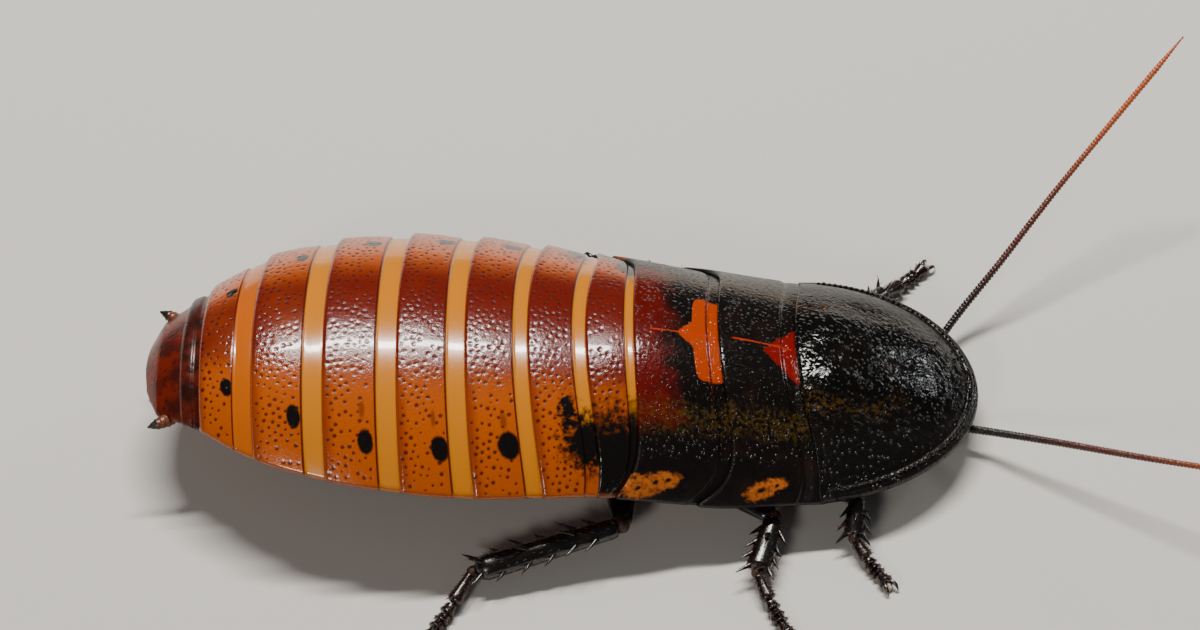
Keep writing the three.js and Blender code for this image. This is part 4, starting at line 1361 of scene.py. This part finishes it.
def head_axes(sizes, sign=1):
    """Half axes down the head, to its side and out of its face."""
    down, aside, out = sizes
    return head_down * down, head_side * aside * sign, head_face * out


for side, sign in (("left", 1), ("right", -1)):
    middle = on_head(EYE_SHARE, sign * EYE_ASIDE, 0.05)
    eye = ball(f"eye_{side}_facets", middle, head_axes(EYE_SIZE, sign), rows=36, sides=48, shape=kidney)
    eye.data.materials.append(eye_paint.material)
    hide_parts(f"eye_{side}")
    share, aside, out = PALE_SPOT
    middle = on_head(share, sign * aside, out)
    spot = ball(f"pale_spot_{side}", middle, head_axes(PALE_SPOT_SIZE), rows=12, sides=20)
    spot.data.materials.append(spot_paint.material)
    turn = np.linspace(0, 2 * math.pi, 41)
    middle = on_head(SOCKET_SHARE, sign * SOCKET_ASIDE, SOCKET_OUT)
    across, along = head_side * SOCKET_RADIUS, head_down * SOCKET_RADIUS
    circle = middle + np.outer(np.cos(turn), along) + np.outer(np.sin(turn), across)
    socket_grid = tube_grid(circle, SOCKET_THICK, SOCKET_THICK, 12, up=head_face)
    ring = skin(f"feeler_socket_{side}", socket_grid, wrap=True)
    faces_outwards(ring)
    ring.data.materials.append(ring_paint.material)
    for piece in (eye, spot, ring):
        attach(piece, "root")


# The mouth
# A pale brown plate and a rounded lip cover the dark toothed jaws from the front. A lower lip
# closes the mouth from behind, and two pairs of jointed palps hang beside it.
LIP_THICK = 0.16
LIP_ROUND_FROM = 0.72


def lip_grid(first, last, half_start, half_end, out_start, out_end, rows=18, columns=36):
    """A thin curved plate over the face, as one closed skin round its edge."""
    v = np.linspace(-1, 1, columns)
    front, back = [], []
    for u in np.linspace(0, 1, rows):
        half = half_start + (half_end - half_start) * u**1.6
        rounded = max(0, (u - LIP_ROUND_FROM) / (1 - LIP_ROUND_FROM))
        half *= math.sqrt(max(0.02, 1 - rounded**2))
        share = np.full(columns, first + (last - first) * u)
        out = out_start + (out_end - out_start) * u - 0.3 * v**2 * half
        edge = np.sqrt(np.maximum(0, 1 - v**8)) * math.sqrt(max(0.0, 1 - (2 * u - 1) ** 8))
        front.append(on_head(share, half * v, out + LIP_THICK * edge))
        back.append(on_head(share, half * v, out - LIP_THICK * 0.3 * edge))
    return np.concatenate([np.array(front), np.array(back)[:, ::-1]], 1)


lip_paint = Paint("lip_chitin", roughness=0.3, coat=0.45)
lip_cloud = lip_paint.noise(1.2)
lip_paint.finish(
    Base_Color=lip_paint.mixed(lip_cloud.between(0.35, 0.65), srgb(128, 68, 32), srgb(176, 112, 62)),
    Normal=lip_paint.bump(lip_paint.noise(5.0), 0.03, 0.5),
)
LIPS = {
    # share of its start and end, half width at both, and how far out of the face both lie
    "face_plate": (0.68, 0.83, 1.25, 1.0, 1.02, 0.78),
    "upper_lip": (0.84, 1.02, 0.95, 0.7, 0.74, 0.38),
}
LOWER_LIP = (0.95, 0.0, -0.5)
LOWER_LIP_SIZE = (0.62, 0.85, 0.28)
for label, sizes in LIPS.items():
    piece = skin(label, lip_grid(*sizes), wrap=True, pole_start=True, pole_end=True)
    faces_outwards(piece)
    piece.data.materials.append(lip_paint.material)
    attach(piece, "root")

lower_lip = ball("lower_lip", on_head(*LOWER_LIP), head_axes(LOWER_LIP_SIZE), rows=24, sides=36)
lower_lip.data.materials.append(lip_paint.material)
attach(lower_lip, "root")

JAW = (0.99, 0.62, 0.1)
JAW_SIZE = (0.93, 0.54, 0.48)
jaw_paint = Paint("jaw_chitin", roughness=0.24, coat=0.6)
jaw_paint.finish(
    Base_Color=jaw_paint.mixed(jaw_paint.noise(1.0).between(0.4, 0.6), srgb(30, 12, 8), srgb(88, 34, 16)),
    Normal=jaw_paint.bump(jaw_paint.noise(3.0), 0.03, 0.5),
)


def toothed(a, b, c):
    """Gives the inner edge of a jaw its teeth."""
    teeth = np.clip(-b, 0, 1) * np.clip(a, 0, 1) * np.abs(np.sin(a * 9.0)) * 0.28
    return a, b - teeth, c


palp_paint = Paint("palp_chitin", roughness=0.42, coat=0.2)
palp_share = palp_paint.noise(1.5).between(0.35, 0.6)
palp_paint.finish(
    Base_Color=palp_paint.mixed(palp_share, srgb(108, 60, 28), srgb(164, 108, 58)),
    Normal=palp_paint.bump(palp_paint.grains(7.0), 0.03, 0.5),
)
# Where each palp starts on the head, its parts as steps down, aside and out, and its radius.
PALP_STEPS = {
    "maxillary": (
        (0.78, 1.55, 0.1),
        [(0.6, 0.5, 0.3), (-0.1, 0.75, 0.65), (-0.9, 0.15, 0.7), (-1.1, -0.1, 0.25)],
        0.27,
    ),
    "labial": ((0.93, 0.75, -0.55), [(0.55, 0.25, 0), (0.35, 0.35, 0.35), (-0.1, 0.3, 0.65)], 0.25),
}


def palp_segments(name, start, steps, radius, sign):
    """The parts of one palp, each a little flared tube that starts in the one before."""
    share, aside, out = start
    at = on_head(share, sign * aside, out)
    along = np.linspace(0, 1, 16)
    flare = radius * np.interp(along, [0, 0.1, 0.75, 0.95, 1], [0.5, 0.78, 1.08, 1.0, 0.5])
    pieces = []
    for k, (down, aside, out) in enumerate(steps):
        step = head_down * down + head_side * sign * aside + head_face * out
        path = at + step * 0.04 + along[:, None] * (step * 0.98)
        pieces.append(tube(f"{name}_{k}", path, flare, flare, 18, up=head_face + 0.2 * head_side))
        at = at + step
    return joined(name, pieces)


for side, sign in (("left", 1), ("right", -1)):
    share, aside, out = JAW
    middle = on_head(share, sign * aside, out)
    jaw = ball(f"jaw_{side}", middle, head_axes(JAW_SIZE, sign), rows=30, sides=36, shape=toothed)
    jaw.data.materials.append(jaw_paint.material)
    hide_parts(f"mandible_{side}")
    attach(jaw, "root")
    for kind, (start, steps, radius) in PALP_STEPS.items():
        palp = palp_segments(f"palp_{kind}_{side}_skin", start, steps, radius, sign)
        palp.data.materials.append(palp_paint.material)
        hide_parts(f"palp_{kind}_{side}")
        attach(palp, "root")


# The feelers
# Long thin feelers of many short rings leave their sockets, pass under the shield's edge and rise
# forwards. They are black at the root and turn red-brown and then orange towards the tip.
FEELER_PATHS = {
    "left": [
        (24.3, 4.3, 1.35),
        (26.7, 8.2, 1.9),
        (30.6, 12.2, 4.6),
        (34.5, 16.4, 7.3),
        (38.4, 20.3, 10),
        (44.9, 26.6, 14.5),
    ],
    "right": [
        (24.6, -0.75, 1.2),
        (27, -1.5, 1.6),
        (33.1, -4.1, 3.3),
        (39.9, -7.1, 5.1),
        (46.6, -9.9, 6.9),
        (54.3, -12.9, 8.7),
    ],
}
FEELER_POINTS = 400
FEELER_RINGS = 130
FEELER_WAIST = 0.66
POINTS_PER_RING = 7.0
ROOT_RADIUS = 0.36
MIDDLE_RADIUS = 0.25
TIP_RADIUS = 0.08
TIP_FROM = 0.9


def centripetal_path(points, count):
    """A smooth curve through unevenly spaced points, without overshoot."""
    p = np.asarray(points, float)
    p = np.vstack([2 * p[0] - p[1], p, 2 * p[-1] - p[-2]])
    fine = []
    for k in range(1, len(p) - 2):
        a, b, c, d = p[k - 1 : k + 3]
        t1 = np.linalg.norm(b - a) ** 0.5
        t2 = t1 + np.linalg.norm(c - b) ** 0.5
        t3 = t2 + np.linalg.norm(d - c) ** 0.5
        for t in np.linspace(t1, t2, 30, endpoint=False):
            one = (t1 - t) / t1 * a + t / t1 * b
            two = (t2 - t) / (t2 - t1) * b + (t - t1) / (t2 - t1) * c
            three = (t3 - t) / (t3 - t2) * c + (t - t2) / (t3 - t2) * d
            four = (t2 - t) / t2 * one + t / t2 * two
            five = (t3 - t) / (t3 - t1) * two + (t - t1) / (t3 - t1) * three
            fine.append((t2 - t) / (t2 - t1) * four + (t - t1) / (t2 - t1) * five)
    fine.append(p[-2])
    return evenly(np.array(fine), count)


def ringed_feeler_tree():
    """Turns a line into a tube of rings, as thick as its attribute thick says."""
    tree = GeometryTree("ringed_feeler", Path="Geometry", Rings="Int", Waist="Float", Finish="Material")
    curve = tree.node("GeometryNodeMeshToCurve", {}, {"Mesh": tree.given["Path"]})
    count = tree.worked("MULTIPLY", tree.given["Rings"], POINTS_PER_RING)
    even = tree.node("GeometryNodeResampleCurve", {}, {"Curve": curve.outputs["Curve"], "Count": count})
    index = tree.node("GeometryNodeInputIndex").outputs[0]
    share = tree.worked("FRACT", tree.worked("DIVIDE", index, POINTS_PER_RING))
    swell = tree.worked("POWER", tree.worked("SINE", tree.worked("MULTIPLY", share, math.pi)), 0.5)
    narrow = tree.worked("SUBTRACT", 1.0, tree.given["Waist"])
    ring = tree.worked("ADD", tree.given["Waist"], tree.worked("MULTIPLY", swell, narrow))
    circle = tree.node("GeometryNodeCurvePrimitiveCircle", {}, {"Resolution": 12, "Radius": 1.0})
    tube_made = tree.node(
        "GeometryNodeCurveToMesh",
        {},
        {
            "Curve": even.outputs["Curve"],
            "Profile Curve": circle.outputs["Curve"],
            "Scale": tree.worked("MULTIPLY", ring, tree.named("thick")),
            "Fill Caps": True,
        },
    )
    smooth = tree.node("GeometryNodeSetShadeSmooth", {}, {"Geometry": tube_made.outputs["Mesh"]})
    return tree.finished(smooth.outputs["Geometry"])


feeler_paint = Paint("feeler_chitin", roughness=0.42, coat=0.25)
gone_along = feeler_paint.attribute("gone")
feeler_colour = feeler_paint.mixed(gone_along.between(0.22, 0.5), srgb(20, 12, 9), srgb(84, 30, 14))
feeler_colour = feeler_paint.mixed(gone_along.between(0.5, 0.85), feeler_colour, srgb(176, 82, 30))
feeler_paint.finish(
    Base_Color=feeler_colour,
    Roughness=0.38 + (feeler_paint.noise(3.0) - 0.5) * 0.2,
    Normal=feeler_paint.bump(feeler_paint.grains(9.0), 0.03, 0.6),
)
feeler_tree = ringed_feeler_tree()
for side, sign in (("left", 1), ("right", -1)):
    socket = on_head(SOCKET_SHARE, sign * SOCKET_ASIDE, 0.9)
    leave = on_head(SOCKET_SHARE - 0.06, sign * (SOCKET_ASIDE + 0.25), 1.75)
    path = centripetal_path([socket, leave, *FEELER_PATHS[side]], FEELER_POINTS)
    share = np.linspace(0, 1, FEELER_POINTS)
    fade = np.clip((share - TIP_FROM) / (1 - TIP_FROM), 0, 1)
    fade = fade * fade * (3 - 2 * fade)
    shaft = ROOT_RADIUS + (MIDDLE_RADIUS - ROOT_RADIUS) * np.minimum(1, share * 1.6)
    thick = shaft * (1 - fade) + TIP_RADIUS * fade
    feeler = line_piece(f"feeler_{side}", path, thick=thick * MM, gone=share)
    run_tree(feeler, feeler_tree, Rings=FEELER_RINGS, Waist=FEELER_WAIST, Finish=feeler_paint.material)
    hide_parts(f"antenna_{side}")
    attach(feeler, "root")


# The legs
# Six legs of black-brown glossy chitin, each of a broad hip, a thigh, a spiny shin and a foot of
# five short parts on pale pads, with two hooked claws. Soft skin fills the joints between them.
LEG_JOINTS = {
    # hip, root of the thigh, knee, ankle, toe
    "front_right": [
        (16.6, -2.6, 3.1), (15.2, -6.2, 1.9), (18.75, -8.6, 2.5), (18.45, -11.5, 1.3), (20.75, -14.9, 0.5),
    ],
    "front_left": [
        (16.6, 3.5, 3.1), (15.4, 7, 1.9), (19.4, 8.8, 2.7), (22, 11.9, 1.3), (25.3, 15.2, 0.5),
    ],
    "middle_right": [
        (10.2, -2, 2.6), (8, -5.8, 1.45), (12.7, -10.1, 2), (11.3, -14.6, 1.35), (13.5, -19.5, 0.5),
    ],
    "middle_left": [
        (10.2, 2.5, 2.6), (8.2, 6.3, 1.45), (8.8, 11.2, 2), (3.6, 13.6, 1.35), (-0.8, 16, 0.5),
    ],
    "hind_right": [
        (4.2, -1.9, 2.5), (1.6, -5.8, 1.4), (1.6, -11.6, 3), (-9.2, -14.6, 1.5), (-12.6, -20.2, 0.5),
    ],
    "hind_left": [
        (4.2, 2, 2.5), (1.4, 6, 1.4), (-3.2, 11, 2.8), (-12.6, 13.2, 1.5), (-18, 15.9, 0.5),
    ],
}
HIP_RADIUS = 1.35
THIGH_RADIUS = 1.1
SHIN_RADIUS = {"front": 0.78, "middle": 0.92, "hind": 0.98}
FOOT_RADIUS = 0.53
LEG_FLAT = 0.7
HIP_PROFILE = ([0, 0.45, 0.85, 1], [1.0, 1.05, 0.75, 0.6])
THIGH_PROFILE = ([0, 0.2, 0.5, 0.85, 1], [0.55, 0.85, 1, 0.75, 0.6])
SHIN_PROFILE = ([0, 0.15, 0.6, 0.92, 1], [0.85, 0.8, 0.95, 1, 0.8])
# Each row of spines on the shin: from one share to another, how many, how long, and the angle
# about the shin.
SHIN_SPINES = {
    "front": [
        (0.35, 0.9, 3, 1.0, 15), (0.3, 0.9, 3, 1.0, 165), (0.45, 0.9, 2, 0.8, 90), (0.5, 0.9, 2, 0.8, 270),
    ],
    "middle": [
        (0.25, 0.9, 4, 1.1, 15), (0.25, 0.9, 4, 1.1, 165), (0.4, 0.9, 2, 0.9, 90), (0.45, 0.9, 2, 0.9, 270),
    ],
    "hind": [
        (0.18, 0.93, 6, 1.2, 10), (0.15, 0.93, 6, 1.2, 170), (0.3, 0.9, 3, 1.25, 90), (0.4, 0.9, 3, 0.9, 270),
    ],
}
SPINE_RADIUS = 0.19
# The short parts of the foot, each from one share of its length to another.
FOOT_PARTS = [(0.0, 0.4), (0.4, 0.54), (0.54, 0.66), (0.66, 0.76), (0.76, 0.98)]
FOOT_PROFILE = ([0, 0.06, 0.3, 0.85, 0.97, 1], [0.3, 0.68, 0.75, 1.1, 1.0, 0.45])
FOOT_LEVEL_FROM = 0.62
chance = random.Random(11)


def leg_paint(name, base, warm, shine):
    """Glossy chitin with cloudy warmer patches and a fine grain."""
    paint = Paint(name, roughness=0.28, coat=shine, coat_roughness=0.15)
    cloud = paint.noise(0.8)
    colour = paint.mixed((cloud - 0.5).between(-0.05, 0.25), base, warm)
    return paint.finish(
        Base_Color=colour,
        Roughness=0.26 + (cloud - 0.5) * 0.18,
        Normal=paint.bump(paint.noise(2.5, 4.0), 0.06, 0.6),
    )


leg_chitin = leg_paint("leg_chitin", srgb(8, 5, 4), srgb(28, 12, 7), 0.4)
hip_chitin = leg_paint("hip_chitin", srgb(66, 26, 13), srgb(122, 60, 26), 0.35)
claw_chitin = leg_paint("claw_chitin", srgb(20, 10, 8), srgb(56, 22, 12), 0.6)
pad_skin = soft_skin_paint("pad_skin", srgb(206, 196, 176), srgb(160, 142, 118), 4.0)
joint_skin = soft_skin_paint("joint_folds", srgb(68, 36, 20), srgb(34, 16, 9), 4.0)


def limb(name, start, end, profile, wide, high, sides=36, ends=0.12):
    """A limb's part with rounded ends, stopping just short of both joints."""
    start, end = np.asarray(start, float), np.asarray(end, float)
    step = end - start
    long = np.linalg.norm(step)
    inset = ends / long
    share = np.concatenate([[0, 0.012, 0.04], np.linspace(0.08, 0.92, 30), [0.96, 0.988, 1]])
    close = np.sqrt(np.clip(np.minimum(share, 1 - share) / 0.05, 0.03, 1))
    radius = np.interp(share, *profile) * close
    path = start + step * (inset + share * (1 - 2 * inset))[:, None]
    return tube(name, path, radius * wide, radius * high, sides)


def spine(name, root, direction, long, thick, curve):
    """A curved, tapered spine with a swollen root."""
    u = np.linspace(0, 1, 9)
    direction = direction / np.linalg.norm(direction)
    path = root + np.outer(u * long, direction) + np.outer(u**2 * long * 0.16, curve)
    radius = thick * np.interp(u, [0, 0.12, 0.3, 0.75, 1], [1.2, 1.15, 0.85, 0.45, 0.08])
    return tube(name, path, radius, radius, 8, up=(0.31, 0.22, 0.92))


def shin_with_spines(name, knee, ankle, rows, thick):
    """A shin with rows of spines that lean towards the foot."""
    direction = (ankle - knee) / np.linalg.norm(ankle - knee)
    across = np.cross([0, 0, 1], direction)
    across /= np.linalg.norm(across)
    up = np.cross(direction, across)
    pieces = [limb(f"{name}_shaft", knee, ankle, SHIN_PROFILE, thick, thick * 0.9)]
    for first, final, count, long, angle in rows:
        for k in range(count):
            share = first + (final - first) * k / (count - 1) + chance.uniform(-0.02, 0.02)
            turn = math.radians(angle + chance.uniform(-8, 8))
            out = across * math.cos(turn) + up * math.sin(turn)
            root = knee + (ankle - knee) * min(share, 0.95) + out * thick * 0.66
            lean = out * 0.72 + direction * 0.69
            reach = long * chance.uniform(0.95, 1.15)
            pieces.append(spine(f"{name}_spine", root, lean, reach, SPINE_RADIUS, direction))
    return joined(name, pieces)


def foot_at(ankle, toe, share):
    """A point of the foot, which drops from the ankle and then runs level to the toe."""
    point = ankle + (toe - ankle) * share
    point[2] = toe[2] + (ankle[2] - toe[2]) * max(0, 1 - share / FOOT_LEVEL_FROM) ** 1.3
    return point


def foot_parts(name, ankle, toe):
    """The five parts of a foot, each a tube that widens forwards."""
    radius = FOOT_RADIUS * np.interp(np.linspace(0, 1, 16), *FOOT_PROFILE)
    pieces = []
    for k, (first, last) in enumerate(FOOT_PARTS):
        path = np.array([foot_at(ankle, toe, s) for s in np.linspace(first + 0.012, last, 16)])
        pieces.append(tube(f"{name}_{k}", path, radius, radius * 0.88, 20))
    return joined(name, pieces)


def level_ways(ankle, toe):
    """The level directions along and across a foot."""
    along = (toe - ankle) * np.array([1, 1, 0])
    along /= np.linalg.norm(along)
    return along, np.array([-along[1], along[0], 0])


# Each pad's share of the foot, height above the floor, and half axes along, across and up.
PADS = [
    (0.5, 0.26, (0.34, 0.27, 0.25)),
    (0.63, 0.26, (0.34, 0.27, 0.25)),
    (0.74, 0.26, (0.34, 0.27, 0.25)),
    (1.03, 0.28, (0.36, 0.3, 0.27)),
]
# The points of a claw: how far past the toe, how far aside, and how high above the floor.
CLAW = [(-0.25, 0.14, 0.5), (0.35, 0.39, 0.6), (0.62, 0.42, 0.44), (0.76, 0.45, 0.1)]
CLAW_PROFILE = ([0, 0.3, 0.7, 1], [0.2, 0.19, 0.11, 0.035])


def foot_pads(name, ankle, toe):
    """Soft pads under the short parts of the foot, and one between its claws."""
    along, across = level_ways(ankle, toe)
    pieces = []
    for share, height, (long, wide, high) in PADS:
        middle = foot_at(ankle, toe, share)
        middle[2] = height
        axes = (along * long, across * wide, np.array([0, 0, high]))
        pieces.append(ball(name, middle, axes, rows=12, sides=20))
    return joined(name, pieces)


def foot_claws(name, ankle, toe):
    """Two tapered claws that spread past the toe and hook down to the floor."""
    along, across = level_ways(ankle, toe)
    under_toe = toe * np.array([1, 1, 0])
    radius = np.interp(np.linspace(0, 1, 18), *CLAW_PROFILE)
    pieces = []
    for sign in (1, -1):
        points = [under_toe + along * far + across * sign * aside + (0, 0, up) for far, aside, up in CLAW]
        pieces.append(tube(name, smooth_path(points, 18), radius, radius, 12, up=(0.1, 0.2, 0.97)))
    return joined(name, pieces)


DOWNWARD_LIMIT = -0.15
HAIR_RADIUS = 0.035
HAIRS_PER_SQUARE_METRE = 1e8


def bristles_tree():
    """Sets small leaning hairs over a piece, except where it faces the floor."""
    lengths = {"Spacing": "Float", "Hair_Length": "Float", "Hair_Radius": "Float"}
    kinds = {"Skin": "Geometry", **lengths, "Lean": "Vector", "Seed": "Int", "Finish": "Material"}
    tree = GeometryTree("bristles", **kinds)
    normal = tree.node("GeometryNodeInputNormal").outputs[0]
    apart = tree.node("ShaderNodeSeparateXYZ", {}, {0: normal})
    scatter = tree.node(
        "GeometryNodeDistributePointsOnFaces",
        {"distribute_method": "POISSON"},
        {
            "Mesh": tree.given["Skin"],
            "Selection": tree.worked("GREATER_THAN", apart.outputs["Z"], DOWNWARD_LIMIT),
            "Distance Min": tree.given["Spacing"],
            "Density Max": HAIRS_PER_SQUARE_METRE,
            "Seed": tree.given["Seed"],
        },
    )
    hair = tree.node(
        "GeometryNodeMeshCone",
        {},
        {
            "Vertices": 4,
            "Side Segments": 2,
            "Radius Bottom": tree.given["Hair Radius"],
            "Depth": tree.given["Hair Length"],
        },
    )
    way = tree.node("ShaderNodeVectorMath", {}, {0: scatter.outputs["Normal"], 1: tree.given["Lean"]})
    turn = tree.node("FunctionNodeAlignRotationToVector", {"axis": "Z"}, {"Vector": way.outputs[0]})
    hairs = tree.node(
        "GeometryNodeInstanceOnPoints",
        {},
        {
            "Points": scatter.outputs["Points"],
            "Instance": hair.outputs["Mesh"],
            "Rotation": turn.outputs["Rotation"],
            "Scale": tree.chance(0.6, 1.2, tree.given["Seed"]),
        },
    )
    return tree.finished(hairs.outputs["Instances"])


hairs_tree = bristles_tree()
hair_paint = Paint("bristle_chitin", roughness=0.45)
hair_paint.finish(Base_Color=hair_paint.mixed(hair_paint.noise(1.0), srgb(70, 34, 16), srgb(120, 66, 28)))


def bristles(name, piece, spacing, long, lean, seed):
    """Hairs over a finished piece, as a piece of their own."""
    made = bpy.data.objects.new(name, piece.data.copy())
    bpy.context.scene.collection.objects.link(made)
    lengths = {"Spacing": spacing * MM, "Hair_Length": long * MM, "Hair_Radius": HAIR_RADIUS * MM}
    return run_tree(made, hairs_tree, **lengths, Lean=tuple(lean), Seed=seed, Finish=hair_paint.material)


FOLD_RADII = (0.62, 0.55, 0.42)
# How far apart the hairs stand, and how long they are.
SHIN_HAIRS = (0.5, 0.42)
FOOT_HAIRS = (0.24, 0.3)
for order, (leg, joints) in enumerate(LEG_JOINTS.items()):
    hip, root, knee, ankle, toe = (np.array(j, float) for j in joints)
    rank = leg.split("_")[0]
    coxa = limb(f"{leg}_hip", hip, root, HIP_PROFILE, HIP_RADIUS, HIP_RADIUS * LEG_FLAT, ends=0.05)
    coxa.data.materials.append(hip_chitin)
    femur = limb(f"{leg}_thigh", root, knee, THIGH_PROFILE, THIGH_RADIUS, THIGH_RADIUS * LEG_FLAT)
    tibia = shin_with_spines(f"{leg}_shin", knee, ankle, SHIN_SPINES[rank], SHIN_RADIUS[rank])
    foot = foot_parts(f"{leg}_foot", ankle, toe)
    for piece, node in ((coxa, "coxa"), (femur, "femur"), (tibia, "tibia"), (foot, "tarsus")):
        if piece is not coxa:
            piece.data.materials.append(leg_chitin)
        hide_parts(f"{leg}_{node}")
    pads = foot_pads(f"{leg}_pads", ankle, toe)
    pads.data.materials.append(pad_skin)
    claws = foot_claws(f"{leg}_claws", ankle, toe)
    claws.data.materials.append(claw_chitin)
    folds = []
    for middle, radius in zip((root, knee, ankle), FOLD_RADII):
        folds.append(ball(f"{leg}_fold", middle, np.eye(3) * radius, rows=14, sides=20))
    fold = joined(f"{leg}_joint_skin", folds)
    fold.data.materials.append(joint_skin)
    shin_hairs = bristles(f"{leg}_shin_hairs", tibia, *SHIN_HAIRS, (ankle - knee) / 12, order)
    foot_hairs = bristles(f"{leg}_foot_hairs", foot, *FOOT_HAIRS, (toe - ankle) / 5, order + 10)
    for piece in (coxa, femur, tibia, foot, pads, claws, fold, shin_hairs, foot_hairs):
        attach(piece, "root")


# The room
# A plain pale floor under the feet, in a dim room. A long narrow lamp above its left side makes
# the highlight along the back, and two weak lamps light its right side and its head end.
FLOOR_REACH = 0.8
floor_mesh = bpy.data.meshes.new("floor")
corners = [(x * FLOOR_REACH, y * FLOOR_REACH, 0) for x, y in ((-1, -1), (1, -1), (1, 1), (-1, 1))]
floor_mesh.from_pydata(corners, [], [(0, 1, 2, 3)])
floor = bpy.data.objects.new("floor", floor_mesh)
bpy.context.scene.collection.objects.link(floor)
floor_paint = Paint("pale_floor", roughness=0.8, specular=0.2)
floor_mesh.materials.append(floor_paint.finish(Base_Color=(0.6, 0.58, 0.55, 1)))

world = bpy.data.worlds.new("soft_room")
bpy.context.scene.world = world
world.use_nodes = True
background = world.node_tree.nodes["Background"]
background.inputs["Color"].default_value = (0.9, 0.95, 1.0, 1)
background.inputs["Strength"].default_value = 0.09


def lamp(name, azimuth, elevation, distance, size, power, colour):
    """A rectangular soft lamp aimed at the animal. Azimuth 0 is at its right side, 90 in front."""
    data = bpy.data.lights.new(name, "AREA")
    data.shape = "RECTANGLE"
    data.size, data.size_y = size
    data.energy = power
    data.color = colour
    made = bpy.data.objects.new(name, data)
    az, el = math.radians(azimuth), math.radians(elevation)
    out = Vector((math.sin(az) * math.cos(el), -math.cos(az) * math.cos(el), math.sin(el)))
    made.location = Vector(placed((0, 0, 5))) + out * distance
    made.rotation_euler = out.to_track_quat("Z", "Y").to_euler()
    bpy.context.scene.collection.objects.link(made)


lamp("key", 186, 66, 0.5, (0.3, 0.03), 4.0, (1.0, 0.97, 0.92))
lamp("front_fill", -25, 32, 0.7, (0.12, 0.12), 1.3, (1.0, 0.95, 0.88))
lamp("left_rim", 125, 25, 0.7, (0.1, 0.07), 0.5, (0.92, 0.96, 1.0))
